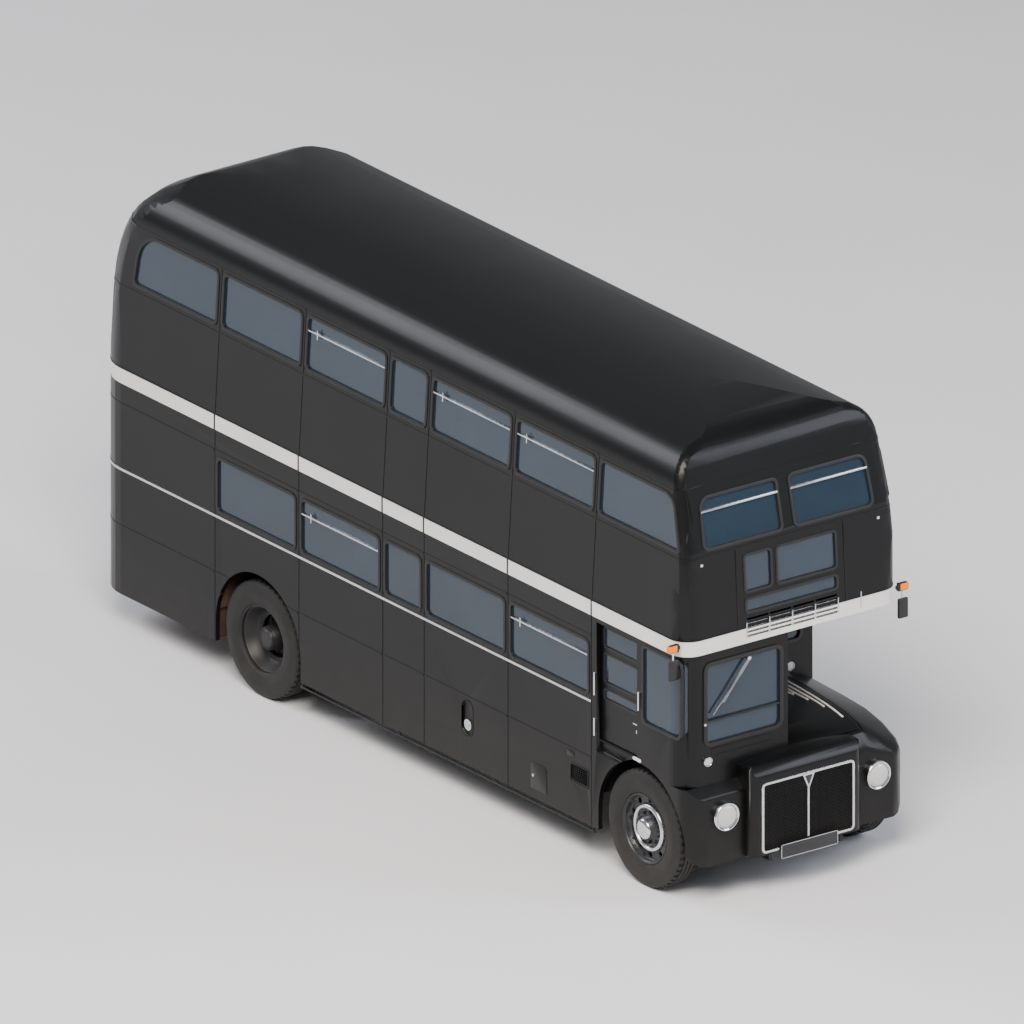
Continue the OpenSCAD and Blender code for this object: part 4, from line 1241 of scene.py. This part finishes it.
    def inside(self) -> None:
        """Finish the steering wheel and lay out a plain dash with blank dials."""
        smooth_copy("steering_wheel", "steering_wheel", "dark_plastic", BLACK_PLASTIC, 50)
        dash = Stock("cab_dash")
        dash.bar((-1.05, -4.245, 1.330), (-0.150, -4.150, 1.470), BLACK_PLASTIC, 0.012)
        for x in self.dial_places:
            dash.rod((x, -4.150, 1.400), (x, -4.138, 1.400), 0.048, CHROME, 28, edge=0.003)
            dash.rod((x, -4.139, 1.400), (x, -4.135, 1.400), 0.042, CREAM_ENAMEL, 28)
        dash.done(BODY, "dark_plastic")


@dataclass
class Nose:
    """Bonnet, wings, radiator cowl and grille, with the strips on the bonnet."""

    mesh_pitch: float = 0.034
    mesh_wire: float = 0.0045
    fins: int = 48
    face: float = -4.540
    opening: tuple[float, float, float] = (0.510, 0.430, 1.095)
    strip_radius: float = 0.009
    strip_steps: int = 8
    # Runs of the cream strips on the bonnet; one follows an edge highlight, so its cream is a painted
    # highlight
    strip_and_highlight_runs: tuple[tuple[float, float, float, float], ...] = (
        (0.700, -3.080, 0.700, -4.120), (0.640, -3.190, 0.655, -3.900), (0.580, -3.280, 0.610, -3.720),
        (0.520, -3.360, 0.565, -3.560),
    )

    def build(self) -> None:
        """Finish the nose panels and make the grille and the bonnet's cream strips."""
        smooth_copy("bonnet", "bonnet", "body_paint", BLACK_ENAMEL, 38)
        for node in ("offside_wing", "nearside_wing", "radiator_cowl"):
            smooth_copy(node, BODY, "body_paint", BLACK_ENAMEL, 38)
        self.grille()
        self.strips()

    def grille(self) -> None:
        """Make the woven-wire radiator grille in its bright frame, with a blank badge."""
        face = self.face
        place = Flat((0, face, 0), (1, 0, 0), (0, 0, 1)).matrix()
        x, low, high = self.opening
        frame_ring = Stock("grille_frame")
        frame_ring.ring(
            rectangle(
                -x + 0.018, low + 0.018, x - 0.018, high - 0.018
            ), (0.022,) * 4, 0.026, 0.0, -0.002, 0.012, CHROME,
            place, 0.005,
        )
        frame_ring.bar((-0.011, low, -0.002), (0.011, high - 0.120, 0.014), CHROME, 0.004, place=place)
        # The blank badge: a bright triangle with a dark one let into it
        for half, top, foot, corner, back, front, finish, edge in (
            (0.070, 0.004, 0.165, 0.012, 0.000, 0.017, CHROME, 0.003),
            (0.044, 0.022, 0.122, 0.008, 0.012, 0.019, PLATE, 0.002),
        ):
            outline = [(-half, high - top), (0.0, high - foot), (half, high - top)]
            frame_ring.plate(outline, (corner,) * 3, back, front, finish, place, edge)
        frame_ring.done(BODY, "bright_trim", ["radiator_grille"])
        wires = Stock("grille_wires")
        half_h = (high - low) / 2
        reach = x + half_h
        count = int(2 * reach / self.mesh_pitch)
        for number in range(count):
            foot = -reach + number * self.mesh_pitch
            for lean in (-1, 1):
                a, b = Vector((foot - lean * half_h, low)), Vector((foot + lean * half_h, high))
                clipped = self.clip(a, b, x)
                if clipped:
                    (ax, az), (bx, bz) = clipped
                    depth = 0.000 if lean > 0 else 0.004
                    wires.rod((ax, az, depth), (bx, bz, depth), self.mesh_wire, BLACK_ENAMEL, 5, place=place)
        wires.done(BODY, "body_paint")
        backing = Stock("radiator_core")
        backing.bar(
            (-x - 0.02, face + 0.050, low + 0.010), (x + 0.02, face + 0.090, high + 0.02), BLIND_CLOTH, 0.004
        )
        for number in range(self.fins):
            fin = -x + number * 2 * x / (self.fins - 1)
            backing.bar(
                (fin - 0.001, face + 0.040, low + 0.010), (fin + 0.001, face + 0.051, high), CHASSIS_PAINT
            )
        backing.done(BODY, "chassis_paint")

    @staticmethod
    def clip(a: Vector, b: Vector, half: float) -> Optional[tuple[tuple[float, float], tuple[float, float]]]:
        """Keep the part of a line between -half and half in x.

        Args:
            a: One end.
            b: The other end.
            half: Half the width.

        Returns:
            The two ends of the kept part, or None.
        """
        low, high = sorted((a, b), key=lambda p: p.x)
        if high.x < -half or low.x > half or high.x - low.x < 1e-9:
            return None
        ends = []
        for limit, point in ((-half, low), (half, high)):
            inside = min(max(point.x, -half), half)
            part = (inside - low.x) / (high.x - low.x)
            spot = low.lerp(high, part)
            ends.append((spot.x, spot.y))
        return (ends[0], ends[1]) if abs(ends[0][0] - ends[1][0]) > 0.01 else None

    def strips(self) -> None:
        """Raise four cream strips along white lines on the kerb side shoulder of the bonnet; one of those
        lines is an edge highlight, so that strip's cream is a painted highlight.
        """
        body = Stock("bonnet_strips_and_painted_highlight")
        shell = Stock.of_node("bonnet", "bonnet")
        tree = self.surface(shell)
        for x0, y0, x1, y1 in self.strip_and_highlight_runs:
            points = []
            for step in range(self.strip_steps + 1):
                part = step / self.strip_steps
                spot = tree.ray_cast(
                    Vector((x0 + (x1 - x0) * part, y0 + (y1 - y0) * part, 3.0)), Vector((0, 0, -1))
                )[0]
                if spot is not None:
                    points.append(spot + Vector((0, 0, 0.004)))
            for a, b in zip(points, points[1:]):
                body.rod(a, b, self.strip_radius, CREAM_ENAMEL, 10)
            for end in (points[0], points[-1]):
                part = bmesh.new()
                bmesh.ops.create_uvsphere(
                    part, u_segments=10, v_segments=6, radius=self.strip_radius,
                    matrix=Matrix.Translation(end)
                )
                body.join(part, CREAM_ENAMEL)
        body.done("bonnet", "bright_trim")
        shell.bm.free()

    @staticmethod
    def surface(shell: Stock) -> BVHTree:
        """A tree of a panel's faces, to lay trim on it."""
        return BVHTree.FromBMesh(shell.bm)


# ---- Lamps, mirrors and plates ----


@dataclass
class Lamps:
    """Headlamps, side, marker and tail lamps, indicators, mirrors and blank plates."""

    headlamp: tuple[float, float, float] = (0.846, -4.420, 0.838)

    def build(self) -> None:
        """Make every lamp, mirror and plate."""
        bezels, lenses = Stock("lamp_bezels"), Stock("lamp_lenses")
        x, y, z = self.headlamp
        for sign in (-1, 1):
            spot = (sign * x, y, z)
            self.turned_lamp(bezels, lenses, spot, (0, -1, 0), 0.138, 0.064)
            self.turned_lamp(bezels, lenses, (sign * 0.985, -4.262, 3.225), (0, -1, 0), 0.017, 0.015)
        self.turned_lamp(bezels, lenses, (-0.956, -4.310, 1.350), (0, -1, 0), 0.047, 0.030)
        self.turned_lamp(bezels, lenses, (0.956, -2.974, 1.392), (0, -1, 0), 0.047, 0.030)
        bezels.done(BODY, "bright_trim")
        lenses.done(BODY, "lamp_glass", ["lamps"])
        tail_bezels, tail = Stock("tail_lamp_bezels"), Stock("tail_lamp_lenses")
        for tx, tz, radius in (
            (-0.700, 0.700, 0.044), (-0.700, 0.820, 0.044), (-0.700, 2.820, 0.039), (0.700, 2.820, 0.039)
        ):
            self.turned_lamp(tail_bezels, tail, (tx, REAR, tz), (0, 1, 0), radius, 0.0095, RED_LENS)
        tail_bezels.done(BODY, "bright_trim")
        tail.done(BODY, "amber_lens")
        self.signals()
        self.mirrors()
        self.plates()

    @staticmethod
    def turned_lamp(
        bezels: Stock, lenses: Stock, foot: Point, axis: Point, radius: float, height: float,
        glass: Finish = LAMP_GLASS,
    ) -> None:
        """Add a round lamp: a bright bezel and a domed lens with a raised inner ring.

        Args:
            bezels: Takes the bezel.
            lenses: Takes the lens.
            foot: The middle of its foot.
            axis: Where it looks.
            radius: Its outer radius.
            height: How far it stands out.
            glass: The lens's finish.
        """
        r, h = radius, height
        bezels.turned(
            [(0, 0.90 * r), (0, 0.98 * r), (0.45 * h, r), (0.72 * h, 0.99 * r), (0.86 * h, 0.94 * r),
             (0.88 * h, 0.88 * r), (0.78 * h, 0.82 * r), (0.55 * h, 0.81 * r), (0.2 * h, 0.80 * r)],
            foot, axis, CHROME, 48,
        )
        lenses.turned(
            [(0, 0.81 * r), (0.60 * h, 0.81 * r), (0.76 * h, 0.74 * r), (0.86 * h, 0.60 * r),
             (0.90 * h, 0.56 * r), (0.885 * h, 0.52 * r),
             (0.95 * h, 0.36 * r), (0.985 * h, 0.18 * r), (h, 0.0)],
            foot, axis, glass, 48, closed=False,
        )

    def signals(self) -> None:
        """Make the box indicators on their short arms."""
        housings, amber = Stock("indicator_housings"), Stock("indicator_lenses")
        for sign in (-1, 1):
            x0, x1 = span(sign, 1.224, 1.326)
            housings.bar((x0, -4.258, 2.446), (x1, -4.222, 2.524), BLACK_PLASTIC, 0.006)
            a0, a1 = span(sign, 1.205, 1.230)
            housings.bar((a0, -4.250, 2.467), (a1, -4.230, 2.503), BLACK_PLASTIC, 0.004)
            g0, g1 = span(sign, 1.246, 1.338)
            amber.bar((g0, -4.264, 2.452), (g1, -4.216, 2.518), AMBER, 0.008, 3)
        housings.done(BODY, "dark_plastic")
        amber.done(BODY, "amber_lens", ["indicators"])

    def mirrors(self) -> None:
        """Make the two mirrors that hang from the indicator arms."""
        stock, glass = Stock("mirror_shells"), Stock("mirror_glasses")
        for sign in (-1, 1):
            x = sign * 1.280
            stock.rod((x, -4.240, 2.370), (x, -4.240, 2.450), 0.009, CHROME, 14)
            x0, x1 = span(sign, 1.226, 1.334)
            stock.bar((x0, -4.262, 2.182), (x1, -4.228, 2.374), BLACK_PLASTIC, 0.014, 4)
            glass.bar((x0 + 0.010, -4.230, 2.194), (x1 - 0.010, -4.225, 2.362), CHROME, 0.002)
        stock.done(BODY, "dark_plastic", ["mirrors"])
        glass.done(BODY, "bright_trim")

    def plates(self) -> None:
        """Make the two blank plates and the front one's brackets."""
        stock = Stock("blank_number_plates")
        front = Flat((0, -4.5625, 0), (1, 0, 0), (0, 0, 1)).matrix()
        stock.plate(rectangle(-0.318, 0.337, 0.318, 0.473), (0.014,) * 4, 0.0, 0.005, PLATE, front, 0.001)
        stock.ring(
            rectangle(-0.310, 0.345, 0.310, 0.465), (0.010,) * 4, 0.006, 0.0, 0.004, 0.0072, CHROME, front,
            0.0008
        )
        for sign in (-1, 1):
            x0, x1 = span(sign, 0.150, 0.190)
            stock.bar((x0, -4.562, 0.402), (x1, -4.540, 0.419), CHASSIS_PAINT, 0.002)
        rear = Flat((0, REAR, 0), (-1, 0, 0), (0, 0, 1)).matrix()
        stock.plate(rectangle(0.272, 0.422, 0.778, 0.538), (0.014,) * 4, 0.0, 0.007, PLATE, rear, 0.001)
        stock.ring(
            rectangle(0.280, 0.430, 0.770, 0.530), (0.010,) * 4, 0.006, 0.0, 0.006, 0.0095, CHROME, rear,
            0.0008
        )
        stock.done(BODY, "dark_plastic", ["number_plates"])


# ---- Wheels ----


@dataclass
class Tyre:
    """A crossply tyre with ribbed tread and stepped sidewalls."""

    radius: float = 0.550
    grooves: tuple[float, ...] = (-0.066, -0.022, 0.022, 0.066)
    steps: int = 96

    def profile(self) -> list[tuple[float, float]]:
        """Half-width and radius of each point round the tyre's section."""
        side = [
            (0.108, 0.326), (0.124, 0.338), (0.128, 0.352), (0.134, 0.368), (0.1385, 0.400), (0.1395, 0.404),
            (0.140, 0.440), (0.139, 0.470), (0.1375, 0.474), (0.136, 0.492), (0.130, 0.516), (0.126, 0.520),
            (0.116, 0.538), (0.104, 0.547), (0.098, 0.5495),
        ]
        crown = [
            (groove + offset, radius)
            for groove in self.grooves
            for offset, radius in (
                (-0.006, self.radius), (-0.004, 0.538), (0.004, 0.538), (0.006, self.radius)
            )
        ]
        return [(-a, r) for a, r in side] + crown + [(a, r) for a, r in reversed(side)]

    def add(self, stock: Stock, x: float, y: float) -> None:
        """Add one tyre.

        Args:
            stock: The set that takes it.
            x: Its middle across the vehicle.
            y: Its axle.
        """
        centre = Vector((x, y, AXLE_Z))
        part = Stock.spun(self.profile(), centre, (1, 0, 0), self.steps, True)
        shoulder = []
        for face in part.faces:
            spot = face.calc_center_median() - centre
            step = int((math.atan2(spot.z, spot.y) + math.pi) / math.tau * self.steps)
            if step % 2 and math.hypot(spot.y, spot.z) > 0.541 and abs(spot.x) > 0.080:
                shoulder.append(face)
        bmesh.ops.recalc_face_normals(part, faces=part.faces[:])
        bmesh.ops.inset_individual(part, faces=shoulder, thickness=0.003, depth=-0.007)
        stock.join(part, TYRE_RUBBER)


@dataclass
class Wheels:
    """Front wheels with bright rings, dished rear twins, and all the tyres."""

    front_x: float = 1.060
    inner_x: float = 0.745
    nuts: int = 10
    tyre: Tyre = field(default_factory=Tyre)

    def nut_circle(
        self, stock: Stock, x: float, y: float, sign: int, radius: float, size: float, finish: Finish
    ) -> None:
        """Add a circle of hexagon nuts on studs.

        Args:
            stock: Takes them.
            x: The disc's face.
            y: The axle.
            sign: The side.
            radius: The circle's radius.
            size: A nut's radius.
            finish: Their finish.
        """
        for number in range(self.nuts):
            angle = math.tau * (number + 0.5) / self.nuts
            cy, cz = y + radius * math.cos(angle), AXLE_Z + radius * math.sin(angle)
            stock.rod((x - sign * 0.002, cy, cz), (x + sign * 0.018, cy, cz), size, finish, 6)
            stock.rod((x, cy, cz), (x + sign * 0.030, cy, cz), size * 0.45, finish, 8)

    def front(self, side: Side) -> None:
        """Finish one front wheel and its tyre.

        Args:
            side: Which side.
        """
        sign, body = side.value, f"{side.label}_front_wheel"
        smooth_copy(body, body, "wheel_paint", WHEEL_PAINT)
        axis = (float(sign), 0, 0)
        trim = Stock(f"{side.label}_wheel_trim")
        trim.turned(
            [
                (0.0, 0.176), (0.020, 0.180), (0.032, 0.190), (0.034, 0.202), (0.030, 0.214), (0.018, 0.224),
                (0.0, 0.228)
            ],
            (sign * 1.114, FRONT_AXLE, AXLE_Z), axis, BRIGHT_ALUMINIUM, 64,
        )
        trim.turned(
            [(-0.004, 0.098), (0.006, 0.096), (0.016, 0.086), (0.024, 0.066), (0.028, 0.040), (0.030, 0.0)],
            (sign * 1.185, FRONT_AXLE, AXLE_Z), axis, CHROME, 48, closed=False,
        )
        trim.done(body, "bright_trim")
        nuts = Stock(f"{side.label}_wheel_nuts")
        self.nut_circle(nuts, sign * 1.114, FRONT_AXLE, sign, 0.146, 0.016, WHEEL_PAINT)
        nuts.turned(
            [
                (-0.004, 0.306), (0.004, 0.314), (0.012, 0.316), (0.016, 0.322), (0.012, 0.328),
                (-0.004, 0.330)
            ],
            (sign * 1.168, FRONT_AXLE, AXLE_Z), axis, WHEEL_PAINT, 72,
        )
        nuts.done(body, "wheel_paint")
        rubber = Stock(f"{side.label}_front_tyre_treaded")
        self.tyre.add(rubber, sign * self.front_x, FRONT_AXLE)
        rubber.done(body, "tyre", [f"{side.label}_front_tyre"], 30)

    def rear(self, side: Side) -> None:
        """Finish one pair of rear wheels and their tyres.

        Args:
            side: Which side.
        """
        sign, body = side.value, f"{side.label}_rear_wheels"
        # The rear wheels, hubs and nuts take the darker wheel enamel: painted shade
        smooth_copy(body, body, "wheel_paint", SHADED_WHEEL_PAINT)
        axis = (float(sign), 0, 0)
        hub = Stock(f"{side.label}_rear_hub")
        hub.turned(
            [(0.0, 0.312), (0.150, 0.312), (0.158, 0.318), (0.158, 0.300), (0.140, 0.290), (0.060, 0.262),
             (0.034, 0.236), (0.030, 0.200), (0.016, 0.196)],
            (sign * 0.992, REAR_AXLE, AXLE_Z), axis, SHADED_WHEEL_PAINT, 72, closed=False,
        )
        hub.turned(
            [(0.0, 0.170), (0.016, 0.168), (0.024, 0.150), (0.060, 0.122), (0.140, 0.112), (0.158, 0.100),
             (0.166, 0.070), (0.168, 0.0)],
            (sign * 0.964, REAR_AXLE, AXLE_Z), axis, SHADED_WHEEL_PAINT, 48, closed=False,
        )
        self.nut_circle(hub, sign * 0.990, REAR_AXLE, sign, 0.146, 0.015, SHADED_WHEEL_PAINT)
        hub.done(body, "wheel_paint")
        rubber = Stock(f"{side.label}_rear_tyres_treaded")
        for x in (self.front_x, self.inner_x):
            self.tyre.add(rubber, sign * x, REAR_AXLE)
        rubber.done(body, "tyre", [f"{side.label}_rear_tyres"], 30)

    def build(self) -> None:
        """Finish all the wheels."""
        for side in Side:
            self.front(side)
            self.rear(side)


# ---- Inside ----


@dataclass
class Cushion:
    """A sprung seat cushion: a block blown up by cloth simulation."""

    size: tuple[float, float, float] = (0.770, 0.420, 0.086)
    voxel: float = 0.024
    pressure: float = 4.0
    frames: int = 16
    swell: float = 0.012

    def template(self) -> bpy.types.Mesh:
        """Make the cushion's mesh, centred on the origin.

        Returns:
            The mesh.
        """
        stock = Stock("cushion_template")
        half = Vector(self.size) / 2
        stock.bar(-half, half, MOQUETTE, 0.022, 3)
        mesh = bpy.data.meshes.new("cushion_template")
        stock.bm.to_mesh(mesh)
        stock.bm.free()
        piece = bpy.data.objects.new("cushion_template", mesh)
        bpy.context.scene.collection.objects.link(piece)
        remesh = piece.modifiers.new("even", "REMESH")
        remesh.mode, remesh.voxel_size = "VOXEL", self.voxel
        self.apply(piece)
        rest = [v.co.copy() for v in piece.data.vertices]
        cloth = piece.modifiers.new("air", "CLOTH")
        cloth.settings.use_pressure = True
        cloth.settings.uniform_pressure_force = self.pressure
        cloth.settings.effector_weights.gravity = 0.0
        scene = bpy.context.scene
        for number in range(1, self.frames + 1):
            scene.frame_set(number)
        self.apply(piece)
        scene.frame_set(1)
        for vertex, start in zip(piece.data.vertices, rest):
            move = vertex.co - start
            if move.length > self.swell:
                vertex.co = start + move.normalized() * self.swell
        result = piece.data.copy()
        bpy.data.objects.remove(piece)
        return result

    @staticmethod
    def apply(piece: bpy.types.Object) -> None:
        """Apply the piece's modifiers to its mesh."""
        bpy.context.view_layer.update()
        evaluated = piece.evaluated_get(bpy.context.evaluated_depsgraph_get())
        mesh = bpy.data.meshes.new_from_object(evaluated)
        piece.modifiers.clear()
        piece.data = mesh


@dataclass
class Saloons:
    """Seats, rails and lamps of both decks."""

    pitch: float = 0.730
    seat_width: float = 0.790
    seat_out: float = 1.100
    back_lean: float = 9.0
    lamp_places: tuple[float, ...] = (-2.4, -1.4, -0.4, 0.6, 1.6)
    bench_places: tuple[float, ...] = (1.860, 2.265)
    lower: tuple[float, float, int] = (-2.184, 0.700, 5)
    upper: tuple[float, float, int] = (-3.460, 2.460, 10)
    cushion: Cushion = field(default_factory=Cushion)
    back: Cushion = field(default_factory=lambda: Cushion(size=(0.760, 0.470, 0.052), swell=0.010))

    def places(self) -> list[tuple[float, float, float, str]]:
        """Middle x, back y, floor z and deck of every double seat."""
        result = []
        for deck, (start, floor, rows) in (("lower", self.lower), ("upper", self.upper)):
            for row in range(rows):
                for sign in (-1, 1):
                    if deck == "upper" and row >= 8 and sign < 0:
                        continue
                    result.append(
                        (sign * (self.seat_out - self.seat_width / 2), start + row * self.pitch, floor, deck)
                    )
        return result

    def build(self) -> None:
        """Make the seats and everything around them."""
        base, squab = self.cushion.template(), self.back.template()
        for deck in ("lower", "upper"):
            soft, metal = Stock(f"{deck}_seat_cushions"), Stock(f"{deck}_seat_frames")
            for x, y, floor, name in self.places():
                if name == deck:
                    self.seat(soft, metal, base, squab, x, y, floor)
            if deck == "lower":
                self.benches(soft, base, squab)
            soft.done(BODY, "seat_cloth", [f"{deck}_seats"], 60)
            metal.done(BODY, "bright_trim")
        for mesh in (base, squab):
            bpy.data.meshes.remove(mesh)
        self.driver_seat()
        self.lamps()
        for node in ("lower_floor", "upper_floor", "platform"):
            dress(node, SLATS)
        smooth_copy("staircase", BODY, "stair_metal", STAIR_ALUMINIUM)
        smooth_copy("grab_rails", BODY, "bright_trim", CHROME, 50)

    def put(self, soft: Stock, mesh: bpy.types.Mesh, place: Matrix, finish: Finish = MOQUETTE) -> None:
        """Add a copy of a cushion's mesh.

        Args:
            soft: Takes it.
            mesh: The cushion.
            place: Where it goes.
            finish: Its covering.
        """
        part = bmesh.new()
        part.from_mesh(mesh)
        soft.join(part, finish, place)

    def seat(
        self, soft: Stock, metal: Stock, base: bpy.types.Mesh, squab: bpy.types.Mesh, x: float, y: float,
        floor: float,
    ) -> None:
        """Add one double seat.

        Args:
            soft: Takes its cushions.
            metal: Takes its frame.
            base: The seat cushion.
            squab: The back cushion.
            x: Its middle.
            y: Its back edge.
            floor: The floor's height.
        """
        self.put(soft, base, Matrix.Translation((x, y - 0.205, floor + 0.420)))
        lean = Matrix.Rotation(math.radians(90 - self.back_lean), 4, "X")
        self.put(soft, squab, Matrix.Translation((x, y + 0.045, floor + 0.690)) @ lean)
        half = self.seat_width / 2 - 0.010
        for side in (-1, 1):
            end = x + side * half
            metal.rod((end, y + 0.030, floor + 0.390), (end, y + 0.095, floor + 0.905), 0.011, CHROME, 10)
            leg = x + side * (half - 0.090)
            metal.rod((leg, y - 0.080, floor), (leg, y - 0.060, floor + 0.385), 0.014, CHASSIS_PAINT, 10)
            metal.rod((leg, y - 0.330, floor), (leg, y - 0.330, floor + 0.385), 0.014, CHASSIS_PAINT, 10)
        metal.rod(
            (x - half, y + 0.095, floor + 0.905), (x + half, y + 0.095, floor + 0.905), 0.013, CHROME, 12
        )
        metal.bar(
            (x - half, y - 0.400, floor + 0.365), (x + half, y + 0.020, floor + 0.380), CHASSIS_PAINT, 0.003
        )

    def benches(self, soft: Stock, base: bpy.types.Mesh, squab: bpy.types.Mesh) -> None:
        """Lay the long seats over the wheel boxes.

        Args:
            soft: Takes the cushions.
            base: The seat cushion.
            squab: The back cushion.
        """
        turn = Matrix.Rotation(math.radians(90), 4, "Z")
        for sign in (-1, 1):
            for y in self.bench_places:
                squeeze = Matrix.Diagonal((0.505, 1.17, 0.9, 1.0))
                self.put(soft, base, Matrix.Translation((sign * 0.850, y, 1.256)) @ turn @ squeeze)
            for y in self.bench_places:
                squeeze = Matrix.Diagonal((0.505, 0.78, 0.75, 1.0))
                stand = turn @ Matrix.Rotation(math.radians(90), 4, "X") @ squeeze
                self.put(soft, squab, Matrix.Translation((sign * 1.140, y, 1.455)) @ stand)

    def driver_seat(self) -> None:
        """Make the driver's leather seat on its pillar."""
        soft, metal = Stock("driver_cushions"), Stock("driver_seat_pillar")
        x, y, floor = -0.660, -3.360, 1.210
        shape = Cushion(size=(0.440, 0.420, 0.074), voxel=0.018, swell=0.010)
        for place in (
            Matrix.Translation((x, y - 0.205, floor + 0.296)),
            Matrix.Translation((x, y + 0.032, floor + 0.575)) @ Matrix.Rotation(math.radians(90 - 7), 4, "X")
            @ Matrix.Diagonal((0.96, 1.08, 0.72, 1.0)),
        ):
            mesh = shape.template()
            self.put(soft, mesh, place, LEATHER)
            bpy.data.meshes.remove(mesh)
        soft.done(BODY, "seat_leather", ["driver_seat"], 60)
        metal.rod((x, y - 0.200, floor), (x, y - 0.200, floor + 0.252), 0.052, CHASSIS_PAINT, 28)
        metal.rod((x, y - 0.200, floor), (x, y - 0.200, floor + 0.020), 0.060, CHASSIS_PAINT, 28, edge=0.004)
        metal.done(BODY, "chassis_paint")

    def lamps(self) -> None:
        """Set round ceiling lamps along both decks."""
        lamps = Stock("saloon_lamps")
        for y in self.lamp_places:
            for sign in (-1, 1):
                lamps.turned(
                    [
                        (0, 0.070), (0.010, 0.068), (0.028, 0.045), (0.034, 0.0)
                    ], (sign * 0.620, y, 2.400), (0, 0, -1),
                    LAMP_GLASS, 24, closed=False,
                )
        lamps.done(BODY, "lamp_glass")


# ---- Underneath ----


@dataclass
class Running:
    """Chassis, axles, knuckles and engine."""

    def build(self) -> None:
        """Finish the running gear."""
        for node in ("chassis_frame", "axles"):
            smooth_copy(node, BODY, "chassis_paint", CHASSIS_PAINT)
        for side in Side:
            smooth_copy(f"{side.label}_knuckle", f"{side.label}_knuckle", "chassis_paint", CHASSIS_PAINT)
        block = Stock.of_node("engine_block", "engine")
        block.paint(block.bm.faces[:], ENGINE_IRON)
        for number in range(6):
            y = -4.02 + number * 0.145
            block.bar((-0.150, y - 0.055, 1.120), (0.150, y + 0.055, 1.148), ENGINE_IRON, 0.010)
        block.done(BODY, "engine_iron", ["engine"])


# ---- Studio ----


@dataclass
class Studio:
    """Pale floor, soft lights and the camera."""

    azimuth: float = -36.7
    elevation: float = 21.6
    width: float = 9.165
    target: tuple[float, float, float] = (0.0, -0.11, 2.19)
    distance: float = 40.0
    sky_colour: str = "dfe2e6"
    sky_strength: float = 0.5
    floor_half: float = 60.0
    look_height: float = 1.8
    # Name, place, side, watts and colour of each light
    lights: tuple[tuple[str, Point, float, float, str], ...] = (
        ("key", (-16.0, -18.0, 26.0), 16.0, 16000.0, "fff6ec"),
        ("fill", (18.0, -20.0, 14.0), 14.0, 4500.0, "eef2ff"),
        ("back", (-12.0, 24.0, 20.0), 16.0, 6000.0, "f4f6ff"),
    )

    def light(self, name: str, spot: Point, size: float, power: float, colour: str) -> None:
        """Add a soft square light that looks at the middle of the vehicle.

        Args:
            name: Its name.
            spot: Its place.
            size: Its side.
            power: Its power in watts.
            colour: Its sRGB colour.
        """
        data = bpy.data.lights.new(name, "AREA")
        data.size, data.energy, data.color = size, power, srgb(colour)[:3]
        lamp = bpy.data.objects.new(name, data)
        lamp.location = spot
        lamp.rotation_euler = (
            Vector(spot) - Vector((0, 0, self.look_height))
        ).to_track_quat("Z", "Y").to_euler()
        bpy.context.scene.collection.objects.link(lamp)

    def build(self) -> None:
        """Set up the floor, lights, sky and camera."""
        bm = bmesh.new()
        bmesh.ops.create_grid(bm, x_segments=1, y_segments=1, size=self.floor_half)
        mesh = bpy.data.meshes.new("studio_floor")
        bm.to_mesh(mesh)
        bm.free()
        mesh.materials.append(SCREED.build())
        floor = bpy.data.objects.new("studio_floor", mesh)
        bpy.context.scene.collection.objects.link(floor)
        world = bpy.data.worlds.new("studio_sky")
        world.use_nodes = True
        world.node_tree.nodes["Background"].inputs[0].default_value = srgb(self.sky_colour)
        world.node_tree.nodes["Background"].inputs[1].default_value = self.sky_strength
        bpy.context.scene.world = world
        for light in self.lights:
            self.light(*light)
        azimuth, elevation = math.radians(self.azimuth), math.radians(self.elevation)
        look = Vector((
            math.sin(azimuth) * math.cos(elevation), -math.cos(azimuth) * math.cos(elevation),
            math.sin(elevation),
        ))
        data = bpy.data.cameras.new("camera")
        data.type, data.ortho_scale = "ORTHO", self.width
        data.clip_end = 200.0
        camera = bpy.data.objects.new("camera", data)
        camera.location = Vector(self.target) + look * self.distance
        camera.rotation_euler = look.to_track_quat("Z", "Y").to_euler()
        bpy.context.scene.collection.objects.link(camera)
        bpy.context.scene.camera = camera


def main() -> None:
    """Build each sub-assembly in order."""
    logging.basicConfig(level=logging.INFO, format="%(name)s %(message)s")
    for assembly in (
        Coachwork(), Windows(), Destination(), CabFittings(), Nose(), Lamps(), Wheels(), Saloons(),
        Running(), Studio(),
    ):
        LOG.info("building %s", type(assembly).__name__)
        assembly.build()


if __name__ == "__main__":
    main()
